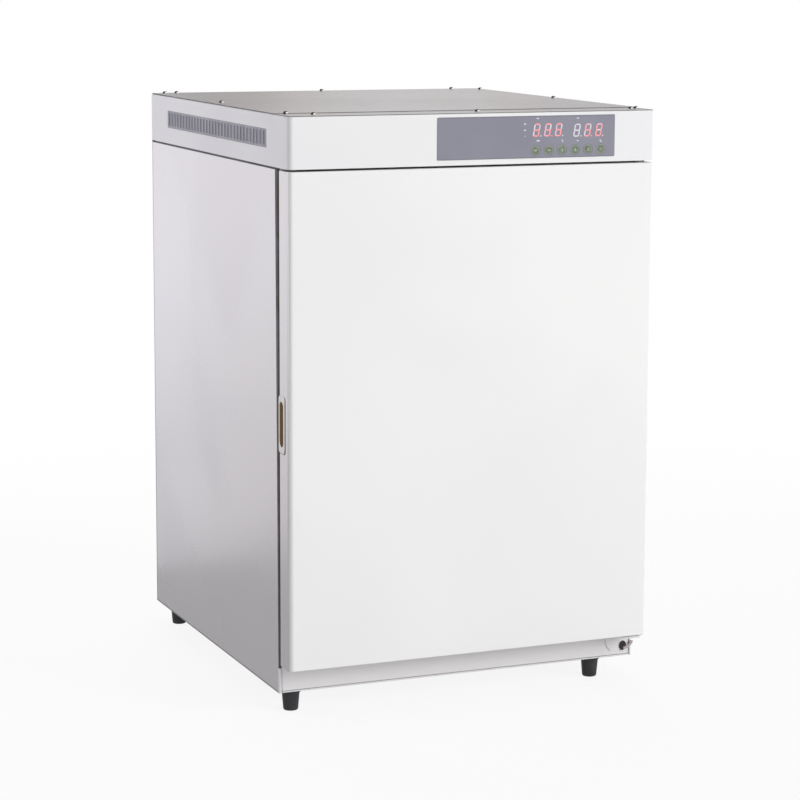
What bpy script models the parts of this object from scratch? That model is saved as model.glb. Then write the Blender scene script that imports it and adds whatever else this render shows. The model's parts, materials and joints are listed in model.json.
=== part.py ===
"""An air-jacketed incubator of about 80 litres.

A sheet-steel case holds a stainless chamber with racks, shelves, a water tray and a fan. It has a
hinged outer door, a hinged glass inner door and a control head on top.

Metres, +Z up, the door faces -Y. The origin is on the floor, under the middle of the whole object's box.
"""

import math

import bmesh
import bpy
from mathutils import Matrix, Vector

# Case
CASE_WIDTH = 0.550
CASE_DEPTH = 0.578  # face frame to back panel
DOOR_PROUD = 0.042  # door face in front of the face frame
REAR_PROUD = 0.020  # rear fittings behind the back panel
PANEL_PROUD = 0.0008  # control panel in front of the head's face
FOOT_HEIGHT = 0.030
BASE_HEIGHT = 0.041  # underside of the base to the lower edge of the door
DOOR_HEIGHT = 0.6895
REVEAL = 0.003  # shadow gap between door and head
COWL_HEIGHT = 0.0695
TOP_EDGE = 0.003  # folded edge of the top plate
SHEET = 0.0015
BEND_RADIUS = 0.0025
EDGE_RETURN = 0.003  # side panel's folded front edge
REAR_RETURN = 0.014
BASE_LIP = 0.002  # base pan's top below the door's lower edge
FIT = 0.0003  # clearance between pieces that seat on each other

# Chamber
SIDE_WALL = 0.075  # chamber to the case's side
REAR_WALL = 0.158  # chamber to the back panel
CEILING_WALL = 0.1105  # chamber to the door's upper edge
CHAMBER_RADIUS = 0.020
CHAMBER_RISE = 0.120  # base underside to chamber floor
LINER_WALL = 0.0012
OPENING_MARGIN = 0.020  # face frame opening beyond the chamber, each side
OPENING_RADIUS = 0.003
RECESS_DEPTH = 0.020  # face frame to chamber flange
FLANGE_LAP = 0.006
JACKET_GAP = 0.012
JACKET_WALL = 0.001
HEATER_THICKNESS = 0.0015
REAR_INSULATION = 0.058
FLOOR_FLANGE = 0.010

# Shelves, racks and water tray
SHELF_RISE = 0.130  # lowest shelf above the chamber floor
SHELF_PITCH = 0.120
SHELF_SHEET = 0.0015
SHELF_LIP = 0.010
SHELF_SLOT_ROWS = 2
SHELF_SLOT_COLUMNS = 9
SHELF_SLOT_WIDTH = 0.010
SHELF_SIDE_CLEARANCE = 0.0012
SHELF_FRONT_SPACE = 0.017  # free travel in front of a shelf with the glass door shut
SHELF_REAR_SPACE = 0.013
RACK_SHEET = 0.0015
RACK_LEDGE = 0.012
RACK_CHANNEL = 0.007
RACK_POST = 0.016
TRAY_SIDE_SPACE = 0.035
TRAY_REAR_SPACE = 0.083
TRAY_HEIGHT = 0.040
TRAY_WALL = 0.001
TRAY_RIM = 0.006
TRAY_BEND = 0.004
TRAY_RADIUS = 0.014

# Fan and duct on the chamber's rear wall
DUCT_WIDTH = 0.250
DUCT_DEPTH = 0.030
DUCT_FOOT = 0.030  # duct to the chamber's floor, and to its ceiling
DUCT_RADIUS = 0.012
DUCT_BEND = 0.004
OUTLET_SLOTS = 9
OUTLET_PITCH = 0.024
OUTLET_RISE = 0.050
OUTLET_HALF = (0.005, 0.022)
FAN_DROP = 0.115  # fan axis below the chamber's ceiling
FAN_RADIUS = 0.070
FAN_EYE = 0.040
FAN_DISC = 0.0016
FAN_BLADES = 12
FAN_STANDOFF = 0.006  # wheel's disc in front of the chamber's rear wall
BLADE_LENGTH = 0.016
BLADE_THICKNESS = 0.0014
BLADE_SWEEP = 0.55  # radians from a blade's inner end to its outer end
HUB_RADIUS = 0.012
HUB_LENGTH = 0.010
HUB_TAPER = 0.002
SHAFT_RADIUS = 0.003
SHAFT_SEAT = 0.010  # how far the shaft stands in the motor
BEARING_PLAY = 0.001
NOSE_RADIUS = 0.009
MOTOR_RADIUS = 0.032
MOTOR_LENGTH = 0.050
MOTOR_EDGE = 0.003
MOTOR_FLANGE = 0.005
MOTOR_LAP = 0.008
INTAKE_HOLE = 0.0072
INTAKE_PITCH = 0.020
INTAKE_RINGS = 2

# Fittings through the rear wall, with their heights above the chamber floor
FITTING_FROM_SIDE = 0.038  # axis to the chamber's side
FITTING_REACH = 0.030  # how far probe, sensor and pipe stand into the chamber
FITTING_FLANGE = 0.003
FITTING_CHAMFER = 0.001
PORT_HEIGHT = 0.190
PORT_RADIUS = 0.013
PORT_WALL = 0.004
PORT_FLANGE = 0.023
STOPPER_HEAD = 0.008
STOPPER_LENGTH = 0.024
STOPPER_TAPER = 0.002
PROBE_HEIGHT = 0.330
PROBE_RADIUS = 0.0025
PROBE_FLANGE = 0.007
PROBE_TAIL = 0.004
PROBE_BORE = 0.050
SENSOR_HEIGHT = 0.410
SENSOR_RADIUS = 0.010
SENSOR_FLANGE = 0.015
SENSOR_TAIL = 0.012
SENSOR_TIP = 0.003
GAS_HEIGHT = 0.410
GAS_PIPE_RADIUS = 0.003
GAS_PIPE_BORE = 0.0018
BARB_ROOT = 0.0032
BARB_RADIUS = 0.0042
BARB_PITCH = 0.0035
INLET_STUB = 0.008
INLET_COLLAR = 0.006
COLLAR_RADIUS = 0.008
STUB_RADIUS = 0.005
VALVE_WIDTH = 0.034
VALVE_LENGTH = 0.042
VALVE_COIL_RADIUS = 0.0136
VALVE_COIL_HEIGHT = 0.044
AIR_SLOT_ROWS = 5
AIR_SLOT_RISE = 0.016
AIR_SLOT_PITCH = 0.009
AIR_SLOT_LENGTH = 0.090
AIR_SLOT_HEIGHT = 0.004
AIR_SLOT_FROM_MIDDLE = 0.060

# Power inlet in the back panel
INLET_FROM_SIDE = 0.105
INLET_RISE = 0.070  # above the underside of the base
INLET_WIDTH = 0.050
INLET_HEIGHT = 0.062
INLET_DEPTH = 0.030
BEZEL_LAP = 0.004
BEZEL_THICKNESS = 0.003
SOCKET_HALF = (0.012, 0.0085)
SOCKET_RADIUS = 0.003
SOCKET_DROP = 0.016
SOCKET_DEPTH = 0.018
DRAWER_WIDTH = 0.026
DRAWER_HEIGHT = 0.006
DRAWER_LINE = 0.0008
ROCKER_RISE = 0.018
ROCKER_WIDTH = 0.020
ROCKER_HEIGHT = 0.013
ROCKER_PLAY = 0.002
ROCKER_WELL = 0.016
ROCKER_SUNK = 0.004
ROCKER_HUB = 0.0035
ROCKER_FACE = 0.0075
ROCKER_DIP = 0.0015
ROCKER_TILT = 0.16  # radians

# Glass inner door
GLASS_THICKNESS = 0.005
GLASS_RADIUS = 0.003
GLASS_MARGIN = 0.008  # pane to opening, each side
SEAL_THICKNESS = 0.0047
SEAL_INSET = 0.002  # seal beyond the chamber's opening
SEAL_WIDTH = 0.006
SEAL_FOOT = 0.002
RAIL_WIDTH = 0.022
RAIL_WALL = 0.0015
RAIL_BACK_INSET = 0.0008
GLASS_AXIS_FORWARD = 0.0052  # hinge axis in front of the pane's face
GLASS_PIN_RADIUS = 0.0025
GLASS_PIN_SPACE = 0.002
LUG_THICKNESS = 0.002
LUG_HALF = (0.0045, 0.0050)
LUG_RADIUS = 0.003
LUG_SHIFT = (0.001, 0.0018)  # lug's middle from the hinge axis, to the pane's middle and back
PIVOT_BLOCK = 0.012
PIVOT_FRONT = 0.004
KNOB_RADIUS = 0.011
KNOB_LENGTH = 0.013
KNOB_NECK = 0.006
KNOB_EDGE = 0.002
KNOB_INSET = 0.030
CATCH_HEIGHT = 0.040
CATCH_WIDTH = 0.008
CATCH_SPACE = 0.0015

# Outer door
DOOR_THICKNESS = 0.033
DOOR_EDGE_RADIUS = 0.0065
DOOR_CORNER_RADIUS = 0.009
DOOR_LIP = 0.0106  # skin's folded return about the liner
DOOR_LIP_RADIUS = 0.002
DISH_DEPTH = 0.008
DISH_MARGIN = 0.002  # dished panel beyond the opening
GASKET_MARGIN = 0.009
GASKET_WIDTH = 0.014
GASKET_RADIUS = 0.030
GASKET_FOOT = 0.0015
HINGE_FROM_SIDE = 0.015
HINGE_FROM_FACE = 0.0165
HINGE_PIN_RADIUS = 0.004
HINGE_PIN_LENGTH = 0.015
HINGE_PLATE = 0.003
HINGE_WIDTH = 0.041
HINGE_TAB = 0.030
HINGE_TIP = 0.005  # bracket's front edge behind the door's face
HINGE_CHAMFER = 0.004
BUSH_WALL = 0.0022
BUSH_FLANGE = 0.008
BUSH_HEAD = 0.0014
BUSH_LENGTH = 0.017
PULL_HEIGHT = 0.080
PULL_FROM_FACE = 0.0135
PULL_CASE_GAP = 0.0024
PULL_DEPTH = 0.014
PULL_RADIUS = 0.006
PULL_CENTRE = 0.342  # above the door's lower edge
PULL_SLOT_HEIGHT = 0.062
PULL_SLOT_WIDTH = 0.014
PULL_SLOT_DEPTH = 0.011
PULL_SLOT_BACK = 0.002  # slot behind the pull's middle

# Head
COWL_RADIUS = 0.0075
COWL_FLANGE = 0.010
TOP_INSET = 0.001
TOP_RADIUS = 0.0015
VENT_FROM_FRONT = 0.087
VENT_HEIGHT = 0.025
VENT_FROM_BACK = 0.083
VENT_RISE = 0.0245  # vent's lower edge above the cowl's lower edge
VENT_SLOTS = 32
VENT_SLOT_WIDTH = 0.0085
VENT_BORDER = 0.003
PANEL_WIDTH = 0.271
PANEL_HEIGHT = 0.0585
PANEL_FROM_RIGHT = 0.0625
PANEL_RISE = 0.0075
PANEL_RADIUS = 0.002
PANEL_FRAME = (0.005, 0.0025)  # cowl lap behind the panel's edges, at the sides and above and below
WINDOW_WIDTH = 0.050
WINDOW_HEIGHT = 0.024
WINDOWS_FROM_RIGHT = (0.1045, 0.0425)  # their middles to the panel's right edge
WINDOW_RISE = 0.037
KEY_RADIUS = 0.0068
KEY_CLEARANCE = 0.0004
KEY_HEAD = 0.0018
KEY_STEM = 0.002
KEY_EDGE = 0.0005
KEY_TRAVEL = 0.0008
KEY_FROM_RIGHT = 0.0215  # the last key's middle to the panel's right edge
KEY_PITCH = 0.0202
KEY_RISE = 0.0105
BOARD_GAP = 0.006
BOARD_INSET = (0.010, 0.003)  # board inside the panel's edge, on the left and elsewhere
BOARD_SHEET = 0.0016
SUPPLY_SIZE = (0.110, 0.170, 0.045)
SUPPLY_FROM_LEFT = 0.125

# Feet, each at (distance from the side, distance from the case's front or back)
FOOT_FLANGE = 0.014
FOOT_TOP_RADIUS = 0.0125
FOOT_TIP_RADIUS = 0.0105
FOOT_RIM = 0.004
FOOT_EDGE = 0.0015
FOOT_LEFT = 0.024
FOOT_RIGHT_FRONT = 0.058
FOOT_INSET = 0.020
STUD_RADIUS = 0.004
STUD_LENGTH = 0.018
BOSS_RADIUS = 0.009
BOSS_HEIGHT = 0.010

# How far a cutter runs past what it cuts
CUT_MARGIN = 0.010

# Fineness of the round shapes
CORNER_STEPS = 3
ROUND_SIDES = 20
SMALL_SIDES = 12
FILL_SCALE = 1000.0  # a flat outline is filled at this scale, because close points are lost at a small one

# Places that follow from the sizes above
HALF_WIDTH = CASE_WIDTH / 2
REACH = (PANEL_PROUD + DOOR_PROUD + CASE_DEPTH + REAR_PROUD) / 2
FRONT_Y = PANEL_PROUD - REACH
FACE_Y = FRONT_Y + DOOR_PROUD
BACK_Y = FACE_Y + CASE_DEPTH
BASE_Z = FOOT_HEIGHT
DOOR_LOW = BASE_Z + BASE_HEIGHT
DOOR_TOP = DOOR_LOW + DOOR_HEIGHT
HEAD_LOW = DOOR_TOP + REVEAL
COWL_TOP = HEAD_LOW + COWL_HEIGHT
TOP_Z = COWL_TOP + TOP_EDGE
BASE_TOP = DOOR_LOW - BASE_LIP
CHAMBER_WIDTH = CASE_WIDTH - 2 * SIDE_WALL
CHAMBER_DEPTH = CASE_DEPTH - RECESS_DEPTH - REAR_WALL
CHAMBER_HEIGHT = BASE_HEIGHT + DOOR_HEIGHT - CHAMBER_RISE - CEILING_WALL
CHAMBER_Z = BASE_Z + CHAMBER_RISE
CHAMBER_MID = CHAMBER_Z + CHAMBER_HEIGHT / 2
CHAMBER_Y = FACE_Y + RECESS_DEPTH
CHAMBER_BACK = CHAMBER_Y + CHAMBER_DEPTH
CHAMBER_HALF = (CHAMBER_WIDTH / 2, CHAMBER_HEIGHT / 2)
JACKET_BACK = CHAMBER_BACK + LINER_WALL + JACKET_GAP
INSULATION_BACK = JACKET_BACK + JACKET_WALL + FIT + REAR_INSULATION
DUCT_FRONT = CHAMBER_BACK - DUCT_DEPTH
DUCT_HEIGHT = CHAMBER_HEIGHT - 2 * DUCT_FOOT
SHELF_DEPTH = CHAMBER_DEPTH - DUCT_DEPTH - SHELF_FRONT_SPACE - SHELF_REAR_SPACE
SHELF_LEVELS = [SHELF_RISE + SHELF_PITCH * number for number in range(3)]
TRAY_WIDTH = CHAMBER_WIDTH - 2 * TRAY_SIDE_SPACE
TRAY_DEPTH = CHAMBER_DEPTH - SHELF_FRONT_SPACE - TRAY_REAR_SPACE
FAN_Z = CHAMBER_Z + CHAMBER_HEIGHT - FAN_DROP
DOOR_BACK = FRONT_Y + DOOR_THICKNESS
HINGE_X = HALF_WIDTH - HINGE_FROM_SIDE
HINGE_Y = FRONT_Y + HINGE_FROM_FACE
GLASS_BACK = CHAMBER_Y - FIT - SEAL_THICKNESS - FIT
GLASS_FACE = GLASS_BACK - GLASS_THICKNESS
GLASS_GROW = OPENING_MARGIN - GLASS_MARGIN
GLASS_HALF = (CHAMBER_HALF[0] + GLASS_GROW, CHAMBER_HALF[1] + GLASS_GROW)
GLASS_AXIS = (GLASS_HALF[0], GLASS_FACE - GLASS_AXIS_FORWARD)
PANEL_RIGHT = HALF_WIDTH - PANEL_FROM_RIGHT
PANEL_LEFT = PANEL_RIGHT - PANEL_WIDTH
PANEL_LOW = HEAD_LOW + PANEL_RISE
WINDOW_CENTRES = [PANEL_RIGHT - reach for reach in WINDOWS_FROM_RIGHT]
KEY_NAMES = ("key_menu", "key_enter", "key_shift", "key_down", "key_up", "key_alarm")
FIRST_KEY_X = PANEL_RIGHT - KEY_FROM_RIGHT - KEY_PITCH * (len(KEY_NAMES) - 1)
KEY_CENTRES = [FIRST_KEY_X + KEY_PITCH * number for number in range(len(KEY_NAMES))]
VENT_LENGTH = DOOR_PROUD + CASE_DEPTH - VENT_FROM_BACK - VENT_FROM_FRONT
INLET_X = HALF_WIDTH - INLET_FROM_SIDE
INLET_Z = BASE_Z + INLET_RISE

# Finishes: colour, roughness, metallic
WHITE_ENAMEL = ((0.86, 0.86, 0.87), 0.35, 0.0)
STAINLESS = ((0.62, 0.60, 0.58), 0.30, 1.0)
ZINC_STEEL = ((0.55, 0.56, 0.57), 0.45, 1.0)
CHROME = ((0.75, 0.74, 0.72), 0.12, 1.0)
BLACK_PLASTIC = ((0.03, 0.03, 0.035), 0.45, 0.0)
GREY_PLASTIC = ((0.30, 0.31, 0.33), 0.50, 0.0)
WHITE_PLASTIC = ((0.80, 0.80, 0.78), 0.45, 0.0)
PANEL_FILM = ((0.42, 0.47, 0.55), 0.40, 0.0)
KEY_OLIVE = ((0.16, 0.20, 0.13), 0.45, 0.0)
BOARD_GREEN = ((0.05, 0.22, 0.10), 0.50, 0.0)
GLASS = ((0.80, 0.88, 0.86), 0.05, 0.0)
SILICONE = ((0.75, 0.75, 0.73), 0.60, 0.0)
FOAM = ((0.85, 0.80, 0.62), 0.90, 0.0)
WOOL = ((0.80, 0.72, 0.50), 0.95, 0.0)
HEATER_FILM = ((0.55, 0.30, 0.10), 0.40, 0.0)
RUBBER = ((0.05, 0.05, 0.055), 0.70, 0.0)
BRASS = ((0.70, 0.55, 0.25), 0.30, 1.0)


def clear_scene():
    """Removes what the scene holds and makes the two collections."""
    for obj in list(bpy.data.objects):
        bpy.data.objects.remove(obj, do_unlink=True)
    for name in ("incubator", "cutters"):
        if name not in bpy.data.collections:
            bpy.context.scene.collection.children.link(bpy.data.collections.new(name))


def add(name, mesh, finish=None):
    """Makes an object of the mesh: a part where it has a finish, and otherwise a cutter."""
    obj = bpy.data.objects.new(name, mesh)
    if finish is None:
        bpy.data.collections["cutters"].objects.link(obj)
        obj.hide_render = True
        obj.display_type = "WIRE"
        return obj
    bpy.data.collections["incubator"].objects.link(obj)
    colour, roughness, metallic = finish
    material = bpy.data.materials.new(name)
    material.use_nodes = True
    shader = material.node_tree.nodes["Principled BSDF"]
    shader.inputs["Base Color"].default_value = (*colour, 1.0)
    shader.inputs["Roughness"].default_value = roughness
    shader.inputs["Metallic"].default_value = metallic
    mesh.materials.append(material)
    return obj


def mesh_from(name, shape):
    """Turns the bmesh into a mesh that is smooth except at its creases."""
    mesh = bpy.data.meshes.new(name)
    shape.to_mesh(mesh)
    shape.free()
    mesh.shade_smooth()
    mesh.set_sharp_from_angle(angle=math.radians(35))
    return mesh


def block(name, low, high, finish=None, bevel=0.0):
    """A box between two corners, with rounded edges where a bevel is given."""
    low, high = Vector(low), Vector(high)
    shape = bmesh.new()
    bmesh.ops.create_cube(shape, size=1.0, matrix=Matrix.Diagonal((*(high - low), 1.0)))
    obj = add(name, mesh_from(name, shape), finish)
    obj.location = (low + high) / 2
    if bevel:
        rounded = obj.modifiers.new("rounded", "BEVEL")
        rounded.width = bevel
        rounded.segments = 2
    return obj


def turn_for(axis):
    """The rotation that takes +Z to the named axis."""
    return {
        "X": Matrix.Rotation(math.pi / 2, 3, "Y"),
        "Y": Matrix.Rotation(-math.pi / 2, 3, "X"),
        "Z": Matrix.Identity(3),
    }[axis].to_euler()


def rod(name, start, axis, radius, length, finish=None, sides=ROUND_SIDES):
    """A cylinder that runs from a point along the named axis."""
    shape = bmesh.new()
    bmesh.ops.create_cone(
        shape,
        cap_ends=True,
        segments=sides,
        radius1=radius,
        radius2=radius,
        depth=length,
        matrix=Matrix.Translation((0.0, 0.0, length / 2)),
    )
    obj = add(name, mesh_from(name, shape), finish)
    obj.location = start
    obj.rotation_euler = turn_for(axis)
    return obj


def turned(name, profile, place, axis, finish=None, sides=ROUND_SIDES, ring_shape=False):
    """A profile of (radius, height) pairs turned about its axis. It runs down its outer side."""
    shape = bmesh.new()
    points = [shape.verts.new((radius, 0.0, height)) for radius, height in profile]
    for first, second in zip(points, points[1:]):
        shape.edges.new((first, second))
    if ring_shape:
        shape.edges.new((points[-1], points[0]))
    mesh = bpy.data.meshes.new(name)
    shape.to_mesh(mesh)
    shape.free()
    obj = add(name, mesh, finish)
    screw = obj.modifiers.new("turned", "SCREW")
    screw.steps = screw.render_steps = sides
    screw.use_merge_vertices = True
    screw.merge_threshold = 0.00001
    obj.location = place
    obj.rotation_euler = turn_for(axis)
    return obj


def round_rectangle(half_width, half_height, radius, centre=(0.0, 0.0), steps=CORNER_STEPS):
    """The outline of a rectangle with round corners, counter-clockwise."""
    points = []
    for quarter, (across, up) in enumerate(((1, 1), (-1, 1), (-1, -1), (1, -1))):
        for step in range(steps + 1):
            angle = (quarter + step / steps) * math.pi / 2
            points.append(
                (
                    centre[0] + across * (half_width - radius) + radius * math.cos(angle),
                    centre[1] + up * (half_height - radius) + radius * math.sin(angle),
                )
            )
    return points


def rectangle(low, high):
    return [low, (high[0], low[1]), high, (low[0], high[1])]


def slot_outline(centre, half_width, half_length, steps=2):
    """A slot with round ends, its long side upright, counter-clockwise."""
    points = []
    for way in (1, -1):
        for step in range(steps + 1):
            angle = step / steps * math.pi
            points.append(
                (
                    centre[0] + way * half_width * math.cos(angle),
                    centre[1] + way * (half_length - half_width + half_width * math.sin(angle)),
                )
            )
    return points


def circle(centre, radius, sides=SMALL_SIDES):
    turns = [2 * math.pi * step / sides for step in range(sides)]
    return [(centre[0] + radius * math.cos(turn), centre[1] + radius * math.sin(turn)) for turn in turns]


def rounded_path(path, radius, steps=3):
    """An open path of (x, y) points with its inner corners rounded."""
    points = [Vector(path[0])]
    for before, corner, after in zip(path, path[1:], path[2:]):
        corner = Vector(corner)
        back = (Vector(before) - corner).normalized() * radius
        ahead = (Vector(after) - corner).normalized() * radius
        centre = corner + back + ahead
        for step in range(steps + 1):
            angle = step / steps * math.pi / 2
            points.append(centre - ahead * math.cos(angle) - back * math.sin(angle))
    points.append(Vector(path[-1]))
    return [tuple(point) for point in points]


PLANES = {
    "XY": Matrix.Identity(3),
    "XZ": Matrix.Rotation(math.pi / 2, 3, "X"),
    "YZ": Matrix(((0.0, 0.0, 1.0), (1.0, 0.0, 0.0), (0.0, 1.0, 0.0))),
}
NORMALS = {"XY": Vector((0.0, 0.0, 1.0)), "XZ": Vector((0.0, 1.0, 0.0)), "YZ": Vector((1.0, 0.0, 0.0))}


def plate(name, outlines, plane, low, high, finish=None):
    """A flat plate between two levels of its plane: the first outline is its edge, the others are holes."""
    curve = bpy.data.curves.new(name, "CURVE")
    curve.dimensions = "2D"
    curve.fill_mode = "BOTH"
    curve.extrude = (high - low) / 2 * FILL_SCALE
    for outline in outlines:
        spline = curve.splines.new("POLY")
        spline.points.add(len(outline) - 1)
        spline.use_cyclic_u = True
        for point, (across, up) in zip(spline.points, outline):
            point.co = (across * FILL_SCALE, up * FILL_SCALE, 0.0, 1.0)
    guide = bpy.data.objects.new(name, curve)
    bpy.context.scene.collection.objects.link(guide)
    bpy.context.view_layer.update()
    mesh = bpy.data.meshes.new_from_object(guide.evaluated_get(bpy.context.evaluated_depsgraph_get()))
    bpy.data.objects.remove(guide, do_unlink=True)
    bpy.data.curves.remove(curve)
    mesh.transform(PLANES[plane].to_4x4() @ Matrix.Scale(1 / FILL_SCALE, 4))
    shape = bmesh.new()
    shape.from_mesh(mesh)
    bpy.data.meshes.remove(mesh)
    bmesh.ops.remove_doubles(shape, verts=shape.verts, dist=0.000001)
    bmesh.ops.recalc_face_normals(shape, faces=shape.faces)
    obj = add(name, mesh_from(name, shape), finish)
    obj.location = NORMALS[plane] * (low + high) / 2
    return obj


def skin(name, rows, finish=None, wall=0.0, closed=True, first_cap=False, last_cap=False, flip=False):
    """A surface through rows of points. With a wall it is a shell, whose wall grows away from the outer side.

    Rows that are counter-clockwise seen from the front, and run front to back, face inwards unless flipped.
    """
    shape = bmesh.new()
    grid = [[shape.verts.new(point) for point in row] for row in rows]
    count = len(grid[0])
    for near, far in zip(grid, grid[1:]):
        for index in range(count if closed else count - 1):
            after = (index + 1) % count
            shape.faces.new((near[index], near[after], far[after], far[index]))
    if first_cap:
        shape.faces.new(list(reversed(grid[0])))
    if last_cap:
        shape.faces.new(grid[-1])
    if not wall:
        bmesh.ops.recalc_face_normals(shape, faces=shape.faces)
    elif flip:
        bmesh.ops.reverse_faces(shape, faces=shape.faces)
    obj = add(name, mesh_from(name, shape), finish)
    if wall:
        shell = obj.modifiers.new("wall", "SOLIDIFY")
        shell.thickness = wall
        shell.offset = -1.0
        shell.use_even_offset = True
    return obj


def upright(outline, y):
    """Places an outline of (x, z) pairs at a depth."""
    return [(x, y, z) for x, z in outline]


def level(outline, z):
    """Places an outline of (x, y) pairs at a height."""
    return [(x, y, z) for x, y in outline]


def chamber_ring(grow, radius, y):
    """A round-cornered ring about the chamber's axis, larger than the chamber by a margin."""
    half_width = CHAMBER_HALF[0] + grow
    half_height = CHAMBER_HALF[1] + grow
    return upright(round_rectangle(half_width, half_height, radius, (0.0, CHAMBER_MID)), y)


def combine(target, other, operation):
    """Adds a Boolean with a cutter, which is kept out of the render."""
    boolean = target.modifiers.new(other.name, "BOOLEAN")
    boolean.operation = operation
    boolean.solver = "EXACT"
    boolean.object = other


def cut(cutter, *targets):
    for target in targets:
        combine(target, cutter, "DIFFERENCE")


def join(target, *others):
    for other in others:
        combine(target, other, "UNION")


def pivot(name, place, *pieces):
    """An empty on a joint's axis, which carries the pieces that move with it."""
    empty = bpy.data.objects.new(name, None)
    bpy.data.collections["incubator"].objects.link(empty)
    empty.location = place
    empty.empty_display_size = 0.02
    bpy.context.view_layer.update()
    for piece in pieces:
        piece.parent = empty
        piece.matrix_parent_inverse = empty.matrix_world.inverted()


def build_case():
    """Base pan, side panels, face frame and insulation."""
    pan_half = HALF_WIDTH - EDGE_RETURN - FIT
    pan_back = BACK_Y - 2 * (SHEET + FIT)
    mid_y = (FACE_Y + pan_back) / 2
    pan_depth = (pan_back - FACE_Y) / 2

    def pan_ring(inset, z):
        outline = round_rectangle(pan_half - inset, pan_depth - inset, 2 * BEND_RADIUS - inset, (0.0, mid_y))
        return level(outline, z)

    rows = [pan_ring(0.0, BASE_TOP)]
    steps = 3
    for step in range(steps + 1):
        angle = step / steps * math.pi / 2
        inset = BEND_RADIUS * (1 - math.cos(angle))
        rows.append(pan_ring(inset, BASE_Z + BEND_RADIUS * (1 - math.sin(angle))))
    base = skin("base_pan", rows, WHITE_ENAMEL, SHEET, last_cap=True, flip=True)
    for place in foot_places():
        start = (*place, BASE_Z + SHEET / 2)
        boss = rod("base_boss", start, "Z", BOSS_RADIUS, BOSS_HEIGHT, sides=SMALL_SIDES)
        join(base, boss)
    for place in foot_places():
        start = (*place, BASE_Z - CUT_MARGIN)
        reach = BOSS_HEIGHT + 2 * CUT_MARGIN
        hole = rod("base_hole", start, "Z", STUD_RADIUS + FIT, reach, sides=SMALL_SIDES)
        cut(hole, base)

    rear = BACK_Y - SHEET - FIT
    for side, name in ((1, "side_panel_right"), (-1, "side_panel_left")):
        path = [
            (side * (HALF_WIDTH - EDGE_RETURN), FACE_Y),
            (side * HALF_WIDTH, FACE_Y),
            (side * HALF_WIDTH, rear),
            (side * (HALF_WIDTH - REAR_RETURN), rear),
        ]
        points = rounded_path(path, BEND_RADIUS)
        rows = [level(points, BASE_Z), level(points, DOOR_TOP)]
        skin(name, rows, WHITE_ENAMEL, SHEET, closed=False, flip=side < 0)

    frame_half = (HALF_WIDTH - EDGE_RETURN - FIT, (HEAD_LOW - BASE_TOP) / 2 - FIT)
    frame_mid = (HEAD_LOW + BASE_TOP) / 2
    edge = upright(round_rectangle(*frame_half, SHEET, (0.0, frame_mid)), FACE_Y)
    rows = [
        edge,
        chamber_ring(OPENING_MARGIN, OPENING_RADIUS, FACE_Y),
        chamber_ring(OPENING_MARGIN, OPENING_RADIUS, CHAMBER_Y - FIT),
    ]
    skin("face_frame", rows, WHITE_ENAMEL, SHEET)

    low = (-(HALF_WIDTH - SHEET - FIT), FACE_Y + EDGE_RETURN, BASE_TOP + FIT)
    high = (HALF_WIDTH - SHEET - FIT, INSULATION_BACK, HEAD_LOW - FLOOR_FLANGE - FIT)
    insulation = block("insulation", low, high, WOOL)
    wide = OPENING_MARGIN + FLANGE_LAP + FIT
    narrow = LINER_WALL + JACKET_GAP + JACKET_WALL + FIT + HEATER_THICKNESS + FIT
    step_y = CHAMBER_Y + LINER_WALL + FIT
    rows = [
        chamber_ring(wide, OPENING_RADIUS, FACE_Y),
        chamber_ring(wide, OPENING_RADIUS, step_y),
        chamber_ring(narrow, CHAMBER_RADIUS + narrow, step_y),
        chamber_ring(narrow, CHAMBER_RADIUS + narrow, JACKET_BACK + JACKET_WALL + FIT),
    ]
    cut(skin("insulation_cavity", rows, first_cap=True, last_cap=True), insulation)
    return insulation


def foot_places():
    """The feet's (x, y) places: front left, front right, rear left, rear right."""
    left = FOOT_LEFT - HALF_WIDTH
    front = FACE_Y + FOOT_INSET
    rear = BACK_Y - 2 * FOOT_INSET
    return [(left, front), (HALF_WIDTH - FOOT_RIGHT_FRONT, front), (left, rear), (-left, rear)]


def build_feet():
    names = ("foot_front_left", "foot_front_right", "foot_rear_left", "foot_rear_right")
    seat = FOOT_HEIGHT - FIT
    profile = [
        (0.0, seat + STUD_LENGTH),
        (STUD_RADIUS, seat + STUD_LENGTH),
        (STUD_RADIUS, seat),
        (FOOT_FLANGE, seat),
        (FOOT_FLANGE, seat - FOOT_RIM),
        (FOOT_TOP_RADIUS, seat - FOOT_RIM - FOOT_EDGE / 2),
        (FOOT_TIP_RADIUS, FOOT_EDGE),
        (FOOT_TIP_RADIUS - FOOT_EDGE, 0.0),
        (0.0, 0.0),
    ]
    for name, place in zip(names, foot_places()):
        foot = turned(name, profile, (*place, 0.0), "Z", RUBBER, sides=16)
        pivot(name + "_pivot", (*place, 0.0), foot)


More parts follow.
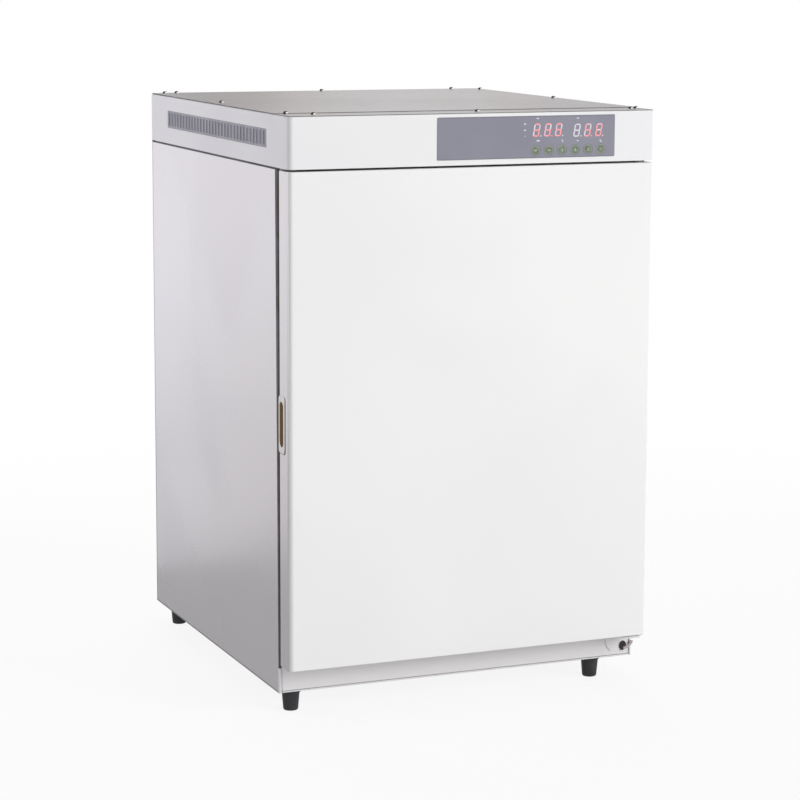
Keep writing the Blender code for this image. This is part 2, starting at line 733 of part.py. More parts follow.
def build_chamber():
    """Chamber liner, air jacket shell and film heater."""
    rear_bend = CHAMBER_RADIUS / 2
    rows = [
        chamber_ring(OPENING_MARGIN + FLANGE_LAP, OPENING_RADIUS, CHAMBER_Y),
        chamber_ring(0.0, CHAMBER_RADIUS, CHAMBER_Y),
    ]
    for step in range(3):
        angle = step / 2 * math.pi / 2
        inset = rear_bend * (1 - math.cos(angle))
        y = CHAMBER_BACK - rear_bend * (1 - math.sin(angle))
        rows.append(chamber_ring(-inset, CHAMBER_RADIUS - inset, y))
    liner = skin("chamber_liner", rows, STAINLESS, LINER_WALL, last_cap=True)

    inner = LINER_WALL + JACKET_GAP
    front = CHAMBER_Y + LINER_WALL + FIT
    rows = [
        chamber_ring(inner, CHAMBER_RADIUS + inner, front),
        chamber_ring(inner, CHAMBER_RADIUS + inner, JACKET_BACK),
    ]
    jacket = skin("jacket_shell", rows, ZINC_STEEL, JACKET_WALL, last_cap=True)

    sleeve = inner + JACKET_WALL + FIT
    rows = [
        chamber_ring(sleeve, CHAMBER_RADIUS + sleeve, front + FLANGE_LAP),
        chamber_ring(sleeve, CHAMBER_RADIUS + sleeve, JACKET_BACK - JACKET_GAP),
    ]
    skin("jacket_heater", rows, HEATER_FILM, HEATER_THICKNESS)
    return liner, jacket


def build_racks():
    """Left and right racks: channels for the shelves on two posts each."""
    wall = CHAMBER_HALF[0] - FIT
    front = CHAMBER_Y + SHELF_FRONT_SPACE
    back = DUCT_FRONT - FIT
    straight = CHAMBER_HALF[1] - CHAMBER_RADIUS
    for side, name in ((1, "shelf_rack_right"), (-1, "shelf_rack_left")):
        inner = side * (wall - RACK_SHEET)
        outer = side * wall
        rack = None
        for y in (front + RACK_POST, back - 2 * RACK_POST):
            low = (min(inner, outer), y, CHAMBER_MID - straight)
            high = (max(inner, outer), y + RACK_POST, CHAMBER_MID + straight)
            if rack is None:
                rack = block(name, low, high, STAINLESS)
            else:
                join(rack, block("rack_post", low, high))
        for height in SHELF_LEVELS:
            z = CHAMBER_Z + height
            low_z = z - FIT - RACK_SHEET
            high_z = z + RACK_CHANNEL
            tip = side * (wall - RACK_LEDGE)
            outline = [
                (outer, low_z),
                (tip, low_z),
                (tip, low_z + RACK_SHEET),
                (inner, low_z + RACK_SHEET),
                (inner, high_z),
                (tip, high_z),
                (tip, high_z + RACK_SHEET),
                (outer, high_z + RACK_SHEET),
            ]
            join(rack, plate("rack_channel", [outline], "XZ", front, back))


def shelf_slots(half_width, front, back):
    """Outlines of a shelf's slots, in rows that run side to side."""
    pitch_x = 2 * half_width / SHELF_SLOT_COLUMNS
    pitch_y = (back - front) / SHELF_SLOT_ROWS
    slots = []
    for row in range(SHELF_SLOT_ROWS):
        for column in range(SHELF_SLOT_COLUMNS):
            centre = (-half_width + (column + 0.5) * pitch_x, front + (row + 0.5) * pitch_y)
            half_length = pitch_y / 2 - SHELF_SLOT_WIDTH
            slots.append(slot_outline(centre, SHELF_SLOT_WIDTH / 2, half_length))
    return slots


def build_shelves():
    """Three slotted shelves that slide in the racks."""
    half_width = CHAMBER_HALF[0] - FIT - RACK_SHEET - SHELF_SIDE_CLEARANCE
    lip_half = CHAMBER_HALF[0] - FIT - RACK_LEDGE - SHELF_SIDE_CLEARANCE
    front = CHAMBER_Y + SHELF_FRONT_SPACE
    back = front + SHELF_DEPTH
    outline = rectangle((-half_width, front), (half_width, back))
    slots = shelf_slots(lip_half - SHELF_SLOT_WIDTH, front + SHELF_LIP, back - SHELF_LIP)
    for name, height in zip(("shelf_lower", "shelf_middle", "shelf_upper"), SHELF_LEVELS):
        z = CHAMBER_Z + height
        shelf = plate(name, [outline, *slots], "XY", z, z + SHELF_SHEET, STAINLESS)
        for y in (front + FIT, back - FIT - SHELF_SHEET):
            lip = block(
                "shelf_lip", (-lip_half, y, z + SHELF_SHEET / 2), (lip_half, y + SHELF_SHEET, z + SHELF_LIP)
            )
            join(shelf, lip)
        pivot(name + "_slide", (0.0, front, z), shelf)


def build_tray():
    """The humidity tray on the chamber's floor."""
    mid_y = CHAMBER_Y + SHELF_FRONT_SPACE + TRAY_DEPTH / 2
    low = CHAMBER_Z + FIT

    def tray_ring(inset, z):
        half = (TRAY_WIDTH / 2 - inset, TRAY_DEPTH / 2 - inset)
        return level(round_rectangle(*half, TRAY_RADIUS - inset, (0.0, mid_y)), z)

    rows = [tray_ring(0.0, low + TRAY_HEIGHT), tray_ring(TRAY_RIM, low + TRAY_HEIGHT)]
    steps = 2
    for step in range(steps + 1):
        angle = step / steps * math.pi / 2
        inset = TRAY_RIM + TRAY_BEND * (1 - math.cos(angle))
        rows.append(tray_ring(inset, low + TRAY_BEND * (1 - math.sin(angle))))
    tray = skin("water_tray", rows, STAINLESS, TRAY_WALL, last_cap=True, flip=True)
    pivot("water_tray_slide", (0.0, mid_y - TRAY_DEPTH / 2, low), tray)


def build_duct():
    """The duct cover on the chamber's rear wall, with its intake holes and outlet slots."""
    low = CHAMBER_Z + DUCT_FOOT
    centre = (0.0, low + DUCT_HEIGHT / 2)

    def duct_ring(inset, y):
        half = (DUCT_WIDTH / 2 - inset, DUCT_HEIGHT / 2 - inset)
        return upright(round_rectangle(*half, DUCT_RADIUS - inset, centre), y)

    rows = []
    steps = 2
    for step in range(steps + 1):
        angle = step / steps * math.pi / 2
        y = DUCT_FRONT + DUCT_BEND * (1 - math.cos(angle))
        rows.append(duct_ring(DUCT_BEND * (1 - math.sin(angle)), y))
    rows.append(duct_ring(0.0, CHAMBER_BACK - FIT))
    cover = skin("fan_cover", rows, STAINLESS, LINER_WALL, first_cap=True, flip=True)

    holes = [circle((0.0, FAN_Z), INTAKE_HOLE, 6)]
    for ring_number in range(1, INTAKE_RINGS + 1):
        count = 6 * ring_number
        reach = INTAKE_PITCH * ring_number
        for index in range(count):
            turn = 2 * math.pi * index / count
            holes.append(circle((reach * math.cos(turn), FAN_Z + reach * math.sin(turn)), INTAKE_HOLE, 6))
    first = -(OUTLET_SLOTS - 1) / 2
    for index in range(OUTLET_SLOTS):
        holes.append(slot_outline(((first + index) * OUTLET_PITCH, low + OUTLET_RISE), *OUTLET_HALF))
    for number, hole in enumerate(holes):
        cutter = plate(f"cover_hole_{number}", [hole], "XZ", DUCT_FRONT - CUT_MARGIN, DUCT_FRONT + DUCT_BEND)
        cut(cutter, cover)


def build_fan(walls):
    """The fan motor behind the insulation and the wheel on its shaft, in the duct."""
    tail = INSULATION_BACK + FIT
    nose = CHAMBER_BACK + LINER_WALL / 2
    seat = tail - nose
    well = seat + SHAFT_SEAT + 2 * BEARING_PLAY
    profile = [
        (0.0, seat + MOTOR_LENGTH),
        (MOTOR_RADIUS - MOTOR_EDGE, seat + MOTOR_LENGTH),
        (MOTOR_RADIUS, seat + MOTOR_LENGTH - MOTOR_EDGE),
        (MOTOR_RADIUS, seat + MOTOR_FLANGE),
        (MOTOR_RADIUS + MOTOR_LAP, seat + MOTOR_FLANGE),
        (MOTOR_RADIUS + MOTOR_LAP, seat),
        (NOSE_RADIUS, seat),
        (NOSE_RADIUS, 0.0),
        (SHAFT_RADIUS + FIT, 0.0),
        (SHAFT_RADIUS + FIT, well),
        (0.0, well),
    ]
    turned("fan_motor", profile, (0.0, nose, FAN_Z), "Y", ZINC_STEEL)
    rear_bore("nose_bore", (0.0, FAN_Z), NOSE_RADIUS + FIT, walls)

    disc_y = CHAMBER_BACK - FAN_STANDOFF
    shaft_end = tail + SHAFT_SEAT - disc_y
    profile = [
        (0.0, shaft_end),
        (SHAFT_RADIUS, shaft_end),
        (SHAFT_RADIUS, FAN_STANDOFF / 2),
        (HUB_RADIUS, FAN_STANDOFF / 2),
        (HUB_RADIUS, 0.0),
        (FAN_RADIUS, 0.0),
        (FAN_RADIUS, -FAN_DISC),
        (HUB_RADIUS, -FAN_DISC),
        (HUB_RADIUS - HUB_TAPER, -HUB_LENGTH),
        (0.0, -HUB_LENGTH),
    ]
    wheel = turned("fan_wheel", profile, (0.0, disc_y, FAN_Z), "Y", WHITE_PLASTIC)
    root = disc_y - FAN_DISC / 2
    tip = disc_y - FAN_DISC - BLADE_LENGTH
    for index in range(FAN_BLADES):
        outline = blade_outline(2 * math.pi * index / FAN_BLADES)
        join(wheel, plate(f"fan_blade_{index}", [outline], "XZ", tip, root))
    pivot("fan_axis", (0.0, disc_y, FAN_Z), wheel)


def blade_outline(start, steps=3):
    """The outline of one swept blade, whose inner end is at an angle about the fan's axis."""
    outline = []
    for side in (-0.5, 0.5):
        edge = []
        for step in range(steps + 1):
            share = step / steps
            reach = FAN_EYE + (FAN_RADIUS - HUB_TAPER - FAN_EYE) * share
            angle = start + BLADE_SWEEP * share + side * BLADE_THICKNESS / reach
            edge.append((reach * math.cos(angle), FAN_Z + reach * math.sin(angle)))
        outline += edge if side < 0 else reversed(edge)
    return outline


def rear_place(side, height):
    """The (x, z) place of a fitting in the chamber's rear wall, on the left (-1) or the right (1)."""
    return (side * (CHAMBER_HALF[0] - FITTING_FROM_SIDE), CHAMBER_Z + height)


def rear_bore(name, place, radius, walls, length=None, sides=ROUND_SIDES):
    """Cuts a hole through the walls behind the chamber, at an (x, z) place."""
    start = (place[0], CHAMBER_BACK - CUT_MARGIN, place[1])
    cut(rod(name, start, "Y", radius, length or REAR_WALL, sides=sides), *walls)


def build_access_port(walls):
    """The sleeve from the chamber to the back, and the stopper in its rear end."""
    x, z = rear_place(-1, PORT_HEIGHT)
    outer = PORT_RADIUS + PORT_WALL
    front = CHAMBER_BACK - FIT
    tail = BACK_Y + REAR_PROUD - STOPPER_HEAD - FIT - front
    profile = [
        (PORT_RADIUS, tail),
        (outer, tail),
        (outer, 0.0),
        (PORT_FLANGE, 0.0),
        (PORT_FLANGE, FITTING_CHAMFER - FITTING_FLANGE),
        (PORT_RADIUS + FITTING_CHAMFER, -FITTING_FLANGE),
        (PORT_RADIUS, -FITTING_FLANGE),
    ]
    turned("access_port", profile, (x, front, z), "Y", WHITE_PLASTIC, ring_shape=True)
    rear_bore("port_hole", (x, z), outer + FIT, walls)

    head = BACK_Y + REAR_PROUD
    grip = PORT_RADIUS - FIT
    tip = -STOPPER_HEAD - STOPPER_LENGTH
    profile = [
        (0.0, 0.0),
        (outer - FITTING_CHAMFER, 0.0),
        (outer, -FITTING_CHAMFER),
        (outer, -STOPPER_HEAD),
        (grip, -STOPPER_HEAD),
        (grip - STOPPER_TAPER, tip),
        (0.0, tip),
    ]
    stopper = turned("port_stopper", profile, (x, head, z), "Y", SILICONE)
    pivot("port_stopper_slide", (x, head, z), stopper)


def build_probe_and_sensor(walls):
    """The temperature probe and, over it, the CO2 sensor."""
    start = CHAMBER_BACK - FIT
    x, z = rear_place(1, PROBE_HEIGHT)
    inner_end = JACKET_BACK + PROBE_TAIL - start
    profile = [
        (0.0, inner_end),
        (PROBE_RADIUS, inner_end),
        (PROBE_RADIUS, 0.0),
        (PROBE_FLANGE, 0.0),
        (PROBE_FLANGE, -FITTING_FLANGE),
        (PROBE_RADIUS, -FITTING_FLANGE),
        (PROBE_RADIUS, FITTING_CHAMFER - FITTING_REACH),
        (PROBE_RADIUS / 2, -FITTING_REACH),
        (0.0, -FITTING_REACH),
    ]
    turned("temperature_probe", profile, (x, start, z), "Y", STAINLESS, sides=SMALL_SIDES)
    rear_bore("probe_bore", (x, z), PROBE_RADIUS + FIT, walls, PROBE_BORE, SMALL_SIDES)

    x, z = rear_place(1, SENSOR_HEIGHT)
    inner_end = INSULATION_BACK + SENSOR_TAIL - start
    profile = [
        (0.0, inner_end),
        (SENSOR_RADIUS, inner_end),
        (SENSOR_RADIUS, 0.0),
        (SENSOR_FLANGE, 0.0),
        (SENSOR_FLANGE, -FITTING_FLANGE),
        (SENSOR_RADIUS, -FITTING_FLANGE - FITTING_CHAMFER),
        (SENSOR_RADIUS, SENSOR_TIP - FITTING_REACH),
        (SENSOR_RADIUS - SENSOR_TIP, -FITTING_REACH),
        (0.0, -FITTING_REACH),
    ]
    turned("co2_sensor", profile, (x, start, z), "Y", WHITE_PLASTIC, sides=16)
    rear_bore("sensor_bore", (x, z), SENSOR_RADIUS + FIT, walls)


def build_gas_line(walls):
    """The barbed inlet on the back, the valve in front of it and the pipe into the chamber."""
    x, z = rear_place(-1, GAS_HEIGHT)
    barbs = []
    for number in range(3):
        barbs.append((BARB_ROOT, -BARB_PITCH * number))
        barbs.append((BARB_RADIUS, -BARB_PITCH * (number + 1)))
    neck = -REAR_PROUD
    tip = neck - SHEET - INLET_STUB
    profile = [
        (0.0, 0.0),
        *barbs,
        (BARB_ROOT, -3 * BARB_PITCH),
        (BARB_ROOT, neck + INLET_COLLAR),
        (COLLAR_RADIUS, neck + INLET_COLLAR),
        (COLLAR_RADIUS, neck + FIT),
        (STUB_RADIUS, neck + FIT),
        (STUB_RADIUS, tip),
        (0.0, tip),
    ]
    turned("gas_inlet", profile, (x, BACK_Y + REAR_PROUD, z), "Y", BRASS, sides=16)

    back = BACK_Y - SHEET - INLET_STUB - FIT
    front = back - VALVE_LENGTH
    half = VALVE_WIDTH / 2
    high = (x + half, back, z + half / 2)
    valve = block("gas_valve", (x - half, front, z - half), high, BRASS, bevel=FITTING_CHAMFER)
    coil = rod("valve_coil", (x, (front + back) / 2, z), "Z", VALVE_COIL_RADIUS, VALVE_COIL_HEIGHT)
    start = CHAMBER_BACK - FITTING_REACH
    inside = front + VALVE_LENGTH / 8
    pipe = rod("gas_pipe", (x, start, z), "Y", GAS_PIPE_RADIUS, inside - start, sides=SMALL_SIDES)
    join(valve, coil, pipe)
    mouth = (x, start - CUT_MARGIN, z)
    cut(rod("gas_bore", mouth, "Y", GAS_PIPE_BORE, FITTING_REACH + 2 * CUT_MARGIN, sides=SMALL_SIDES), valve)
    rear_bore("pipe_bore", (x, z), GAS_PIPE_RADIUS + FIT, walls, sides=SMALL_SIDES)


def build_back_panel():
    """The back panel, with holes for the fittings and air slots behind the head."""
    holes = [
        circle(rear_place(-1, PORT_HEIGHT), PORT_RADIUS + PORT_WALL + FIT, ROUND_SIDES),
        circle(rear_place(-1, GAS_HEIGHT), STUB_RADIUS + FIT),
        inlet_outline(FIT),
    ]
    half = (AIR_SLOT_LENGTH / 2, AIR_SLOT_HEIGHT / 2)
    for row in range(AIR_SLOT_ROWS):
        z = HEAD_LOW + AIR_SLOT_RISE + AIR_SLOT_PITCH * row
        for middle in (-AIR_SLOT_FROM_MIDDLE, AIR_SLOT_FROM_MIDDLE):
            holes.append(rectangle((middle - half[0], z - half[1]), (middle + half[0], z + half[1])))
    edge = rectangle((-HALF_WIDTH, BASE_Z), (HALF_WIDTH, COWL_TOP - FIT))
    plate("back_panel", [edge, *holes], "XZ", BACK_Y - SHEET, BACK_Y, WHITE_ENAMEL)


def inlet_outline(grow):
    """The power inlet's body outline, larger by a clearance."""
    half = (INLET_WIDTH / 2 + grow, INLET_HEIGHT / 2 + grow)
    return rectangle((INLET_X - half[0], INLET_Z - half[1]), (INLET_X + half[0], INLET_Z + half[1]))


def build_power_inlet():
    """The mains inlet with its fuse drawer, and the rocker switch in it."""
    proud = BACK_Y + BEZEL_THICKNESS
    outside = proud + CUT_MARGIN
    front = BACK_Y - INLET_DEPTH
    inlet = plate("power_inlet", [inlet_outline(0.0)], "XZ", front, BACK_Y + 2 * FIT, BLACK_PLASTIC)
    join(inlet, plate("inlet_bezel", [inlet_outline(BEZEL_LAP)], "XZ", BACK_Y + FIT, proud))
    socket = round_rectangle(*SOCKET_HALF, SOCKET_RADIUS, (INLET_X, INLET_Z - SOCKET_DROP), steps=1)
    cut(plate("inlet_socket", [socket], "XZ", BACK_Y - SOCKET_DEPTH, outside), inlet)
    low = (INLET_X - DRAWER_WIDTH / 2, INLET_Z - DRAWER_HEIGHT / 3)
    drawer = rectangle(low, (low[0] + DRAWER_WIDTH, low[1] + DRAWER_HEIGHT))
    cut(plate("fuse_drawer_line", [drawer], "XZ", proud - DRAWER_LINE, outside), inlet)
    rocker_z = INLET_Z + ROCKER_RISE
    half = (ROCKER_WIDTH / 2, ROCKER_HEIGHT / 2)
    well = (half[0] + FIT, half[1] + ROCKER_PLAY)
    opening = rectangle((INLET_X - well[0], rocker_z - well[1]), (INLET_X + well[0], rocker_z + well[1]))
    cut(plate("rocker_opening", [opening], "XZ", BACK_Y - ROCKER_WELL, outside), inlet)

    axis = (INLET_X, BACK_Y - ROCKER_SUNK, rocker_z)
    outline = [
        (ROCKER_FACE, half[1]),
        (ROCKER_FACE - ROCKER_DIP, 0.0),
        (ROCKER_FACE, -half[1]),
        (-ROCKER_HUB, -ROCKER_HUB),
        (-ROCKER_HUB, ROCKER_HUB),
    ]
    rocker = plate("power_rocker", [outline], "YZ", -half[0], half[0], BLACK_PLASTIC)
    rocker.location = axis
    rocker.rotation_euler = (ROCKER_TILT, 0.0, 0.0)
    pivot("power_rocker_axis", axis, rocker)


def build_glass_door():
    """The inner glass door on its rail, pivot blocks, knob, catch and seal."""
    mid = CHAMBER_MID
    edge = round_rectangle(*GLASS_HALF, GLASS_RADIUS, (0.0, mid))
    rows = [upright(edge, GLASS_FACE), upright(edge, GLASS_BACK)]
    glass = skin("glass_door", rows, GLASS, first_cap=True, last_cap=True)

    seal_front = CHAMBER_Y - FIT - SEAL_THICKNESS
    lip = SEAL_INSET + SEAL_WIDTH / 3
    outer = SEAL_INSET + SEAL_WIDTH
    rows = [
        chamber_ring(SEAL_INSET, CHAMBER_RADIUS, CHAMBER_Y - FIT),
        chamber_ring(SEAL_INSET, CHAMBER_RADIUS, CHAMBER_Y - SEAL_FOOT),
        chamber_ring(lip, CHAMBER_RADIUS, seal_front),
        chamber_ring(outer - SEAL_WIDTH / 3, CHAMBER_RADIUS, seal_front),
        chamber_ring(outer, CHAMBER_RADIUS, CHAMBER_Y - SEAL_FOOT),
        chamber_ring(outer, CHAMBER_RADIUS, CHAMBER_Y - FIT),
    ]
    rows.append(rows[0])
    closed_section("glass_seal", rows, SILICONE)

    axis_x, axis_y = GLASS_AXIS
    edge_x = GLASS_HALF[0]
    rail_front = GLASS_FACE - FIT - RAIL_WALL
    rail_back = GLASS_BACK - RAIL_BACK_INSET
    outline = [
        (edge_x - RAIL_WIDTH, rail_front),
        (edge_x + FIT + RAIL_WALL, rail_front),
        (edge_x + FIT + RAIL_WALL, rail_back),
        (edge_x + FIT, rail_back),
        (edge_x + FIT, GLASS_FACE - FIT),
        (edge_x - RAIL_WIDTH, GLASS_FACE - FIT),
    ]
    low = mid - GLASS_HALF[1] - FIT
    high = mid + GLASS_HALF[1] + FIT
    rail = plate("glass_rail", [outline], "XY", low - LUG_THICKNESS, high + LUG_THICKNESS, STAINLESS)
    lug_centre = (axis_x - LUG_SHIFT[0], axis_y + LUG_SHIFT[1])
    lug_edge = round_rectangle(*LUG_HALF, LUG_RADIUS, lug_centre, steps=2)
    block_low = mid - GLASS_HALF[1] - GLASS_MARGIN + FIT
    block_high = mid + GLASS_HALF[1] + GLASS_MARGIN - FIT
    pin = GLASS_MARGIN - GLASS_PIN_SPACE
    half = PIVOT_BLOCK / 2
    for name, lug_z, pin_z, seat in (
        ("glass_pivot_lower", low - LUG_THICKNESS, low - pin, (block_low, low - LUG_THICKNESS - FIT)),
        ("glass_pivot_upper", high, high, (high + LUG_THICKNESS + FIT, block_high)),
    ):
        lug = plate(name + "_lug", [lug_edge], "XY", lug_z, lug_z + LUG_THICKNESS)
        pin_rod = rod(name + "_pin", (axis_x, axis_y, pin_z), "Z", GLASS_PIN_RADIUS, pin, sides=SMALL_SIDES)
        join(rail, lug, pin_rod)
        near = (axis_x - half, axis_y - PIVOT_FRONT, seat[0])
        seat_block = block(name, near, (axis_x + half, CHAMBER_Y - FIT, seat[1]), STAINLESS)
        start = (axis_x, axis_y, seat[0] - CUT_MARGIN)
        bore = GLASS_PIN_RADIUS + FIT
        cut(rod(name + "_hole", start, "Z", bore, 3 * CUT_MARGIN, sides=SMALL_SIDES), seat_block)

    knob_x = -GLASS_HALF[0] + KNOB_INSET
    profile = [
        (0.0, 0.0),
        (KNOB_NECK, 0.0),
        (KNOB_NECK, -KNOB_LENGTH * 0.45),
        (KNOB_RADIUS, -KNOB_LENGTH * 0.6),
        (KNOB_RADIUS, -KNOB_LENGTH + KNOB_EDGE),
        (KNOB_RADIUS - KNOB_EDGE, -KNOB_LENGTH),
        (0.0, -KNOB_LENGTH),
    ]
    knob = turned("glass_knob", profile, (knob_x, GLASS_FACE - FIT, mid), "Y", WHITE_PLASTIC)
    catch_x = -CHAMBER_HALF[0] - SEAL_INSET - SEAL_WIDTH - CATCH_SPACE
    block(
        "glass_catch",
        (catch_x - CATCH_WIDTH, GLASS_BACK + FIT, mid - CATCH_HEIGHT / 2),
        (catch_x, CHAMBER_Y - FIT, mid + CATCH_HEIGHT / 2),
        GREY_PLASTIC,
    )
    pivot("glass_axis", (axis_x, axis_y, mid), glass, rail, knob)


def closed_section(name, rows, finish):
    """A ring whose section closes on itself: the last row is the first one again."""
    ring_object = skin(name, rows, finish)
    shape = bmesh.new()
    shape.from_mesh(ring_object.data)
    bmesh.ops.remove_doubles(shape, verts=shape.verts, dist=0.000001)
    bmesh.ops.recalc_face_normals(shape, faces=shape.faces)
    shape.to_mesh(ring_object.data)
    shape.free()
    return ring_object


def door_ring(inset, radius, y):
    """A ring about the outer door's middle, inside its outline."""
    mid = (DOOR_LOW + DOOR_TOP) / 2
    outline = round_rectangle(HALF_WIDTH - inset, DOOR_HEIGHT / 2 - inset, radius, (0.0, mid))
    return upright(outline, y)


def build_outer_door():
    """Skin, foam, liner, gasket, pull and bushes of the outer door."""
    rows = []
    steps = 3
    for step in range(steps + 1):
        angle = step / steps * math.pi / 2
        inset = DOOR_EDGE_RADIUS * (1 - math.sin(angle))
        y = FRONT_Y + DOOR_EDGE_RADIUS * (1 - math.cos(angle))
        rows.append(door_ring(inset, DOOR_CORNER_RADIUS - inset, y))
    rows.append(door_ring(0.0, DOOR_CORNER_RADIUS, DOOR_BACK))
    rows.append(door_ring(DOOR_LIP, DOOR_LIP_RADIUS, DOOR_BACK))
    door_skin = skin("door_skin", rows, WHITE_ENAMEL, SHEET, first_cap=True, flip=True)

    edge = SHEET + FIT
    dish = OPENING_MARGIN + DISH_MARGIN
    dish_y = DOOR_BACK - DISH_DEPTH
    rows = [
        door_ring(DOOR_LIP + FIT, DOOR_LIP_RADIUS, DOOR_BACK),
        chamber_ring(dish, GASKET_RADIUS, DOOR_BACK),
        chamber_ring(dish - DISH_DEPTH / 2, GASKET_RADIUS - DISH_DEPTH / 2, dish_y),
    ]
    liner = skin("door_liner", rows, WHITE_PLASTIC, SHEET, last_cap=True, flip=True)

    back = DOOR_BACK - SHEET - FIT
    front = FRONT_Y + SHEET + FIT
    round_edge = DOOR_EDGE_RADIUS - edge
    rows = [
        door_ring(DOOR_EDGE_RADIUS, DOOR_CORNER_RADIUS - DOOR_EDGE_RADIUS, front),
        door_ring(edge, DOOR_CORNER_RADIUS - edge, front + round_edge),
        door_ring(edge, DOOR_CORNER_RADIUS - edge, back),
        chamber_ring(dish + edge, GASKET_RADIUS, back),
        chamber_ring(dish + edge - DISH_DEPTH / 2, GASKET_RADIUS - DISH_DEPTH / 2, dish_y - SHEET - FIT),
    ]
    foam = skin("door_foam", rows, FOAM, first_cap=True, last_cap=True)

    inner = OPENING_MARGIN + GASKET_MARGIN
    width = GASKET_WIDTH
    start = DOOR_BACK + FIT
    end = FACE_Y - FIT
    middle = (start + end) / 2
    section = [
        (0.0, start),
        (0.0, start + GASKET_FOOT),
        (width * 0.25, middle - GASKET_FOOT / 3),
        (width * 0.1, middle + GASKET_FOOT * 2 / 3),
        (width * 0.1, end),
        (width * 0.9, end),
        (width * 0.9, middle + GASKET_FOOT * 2 / 3),
        (width * 0.75, middle - GASKET_FOOT / 3),
        (width, start + GASKET_FOOT),
        (width, start),
        (0.0, start),
    ]
    rows = [chamber_ring(inner + grow, GASKET_RADIUS + grow, y) for grow, y in section]
    gasket = closed_section("door_gasket", rows, SILICONE)

    pull_low = FRONT_Y + PULL_FROM_FACE
    pull_high = FACE_Y - PULL_CASE_GAP
    pull_z = DOOR_LOW + PULL_CENTRE
    centre = ((pull_low + pull_high) / 2, pull_z)
    half = ((pull_high - pull_low) / 2, PULL_HEIGHT / 2)
    outline = round_rectangle(*half, PULL_RADIUS, centre, steps=3)
    pull = plate("door_pull", [outline], "YZ", -HALF_WIDTH, -HALF_WIDTH + PULL_DEPTH, CHROME)
    slot_centre = (centre[0] + PULL_SLOT_BACK, pull_z)
    slot = slot_outline(slot_centre, PULL_SLOT_WIDTH / 2, PULL_SLOT_HEIGHT / 2, steps=6)
    cut(plate("pull_slot", [slot], "YZ", -HALF_WIDTH - CUT_MARGIN, -HALF_WIDTH + PULL_SLOT_DEPTH), pull)
    low = (centre[0] - half[0] - FIT, pull_z - half[1] - FIT)
    high = (FACE_Y, pull_z + half[1] + FIT)
    grown = rounded_path([(high[0], low[1]), low, (low[0], high[1]), high], PULL_RADIUS + FIT)
    pocket = plate("pull_pocket", [grown], "YZ", -HALF_WIDTH - CUT_MARGIN, -HALF_WIDTH + PULL_DEPTH + FIT)
    cut(pocket, door_skin, liner, foam)

    outer = HINGE_PIN_RADIUS + FIT + BUSH_WALL
    bore = HINGE_PIN_RADIUS + FIT
    pieces = [door_skin, liner, foam, gasket, pull]
    for name, z, way in (("door_bush_lower", DOOR_LOW, 1), ("door_bush_upper", DOOR_TOP, -1)):
        head = z - way * FIT
        profile = [
            (bore, BUSH_LENGTH),
            (outer, BUSH_LENGTH),
            (outer, 0.0),
            (BUSH_FLANGE, 0.0),
            (BUSH_FLANGE, -BUSH_HEAD),
            (bore, -BUSH_HEAD),
        ]
        bush = turned(name, profile, (HINGE_X, HINGE_Y, head), "Z", WHITE_PLASTIC, ring_shape=True)
        if way < 0:
            bush.rotation_euler = (math.pi, 0.0, 0.0)
        depth = BUSH_LENGTH + 2 * FIT
        start_z = z - CUT_MARGIN if way > 0 else z - depth
        socket = rod(name + "_socket", (HINGE_X, HINGE_Y, start_z), "Z", outer + FIT, depth + CUT_MARGIN)
        cut(socket, door_skin, foam)
        pieces.append(bush)
    pivot("door_axis", (HINGE_X, HINGE_Y, (DOOR_LOW + DOOR_TOP) / 2), *pieces)


def build_hinges(head_floor):
    """The fixed pivot brackets under and over the outer door."""
    right = HALF_WIDTH - SHEET
    left = right - HINGE_WIDTH
    tip = FRONT_Y + HINGE_TIP
    seat = DOOR_LOW - FIT - BUSH_HEAD - FIT
    outline = [
        (left, FACE_Y - FIT),
        (left, HINGE_Y - HINGE_CHAMFER),
        (left + 3 * HINGE_CHAMFER, tip),
        (right - HINGE_CHAMFER, tip),
        (right, tip + HINGE_CHAMFER),
        (right, FACE_Y - FIT),
    ]
    lower = plate("hinge_lower", [outline], "XY", seat - HINGE_PLATE, seat, WHITE_ENAMEL)
    low_z = seat - HINGE_TAB
    tab = [
        (left, seat - HINGE_PLATE / 2),
        (left, low_z + 3 * HINGE_CHAMFER),
        (left + 2 * HINGE_CHAMFER, low_z),
        (left + HINGE_WIDTH / 2, low_z),
        (right - 1.5 * HINGE_CHAMFER, seat - HINGE_TAB * 0.45),
        (right, seat - HINGE_PLATE / 2),
    ]
    join(lower, plate("hinge_tab", [tab], "XZ", FACE_Y - FIT - HINGE_PLATE, FACE_Y - FIT))
    pin_start = seat - HINGE_PLATE / 2
    reach = HINGE_PLATE / 2 + HINGE_PIN_LENGTH
    join(lower, rod("hinge_pin_lower", (HINGE_X, HINGE_Y, pin_start), "Z", HINGE_PIN_RADIUS, reach))

    floor_top = HEAD_LOW + SHEET + FIT
    front = HINGE_Y - 3 * HINGE_CHAMFER
    rear = FACE_Y + HINGE_TAB
    outline = [
        (left, rear),
        (left, front + 1.5 * HINGE_CHAMFER),
        (left + 1.5 * HINGE_CHAMFER, front),
        (right - FIT - 1.5 * HINGE_CHAMFER, front),
        (right - FIT, front + 1.5 * HINGE_CHAMFER),
        (right - FIT, rear),
    ]
    upper = plate("hinge_upper", [outline], "XY", floor_top, floor_top + HINGE_PLATE, ZINC_STEEL)
    low = DOOR_TOP + FIT + BUSH_HEAD - HINGE_PIN_LENGTH
    length = floor_top + HINGE_PLATE / 2 - low
    join(upper, rod("hinge_pin_upper", (HINGE_X, HINGE_Y, low), "Z", HINGE_PIN_RADIUS, length))
    start = (HINGE_X, HINGE_Y, HEAD_LOW - CUT_MARGIN)
    cut(rod("floor_hole", start, "Z", HINGE_PIN_RADIUS + FIT, 3 * CUT_MARGIN), head_floor)


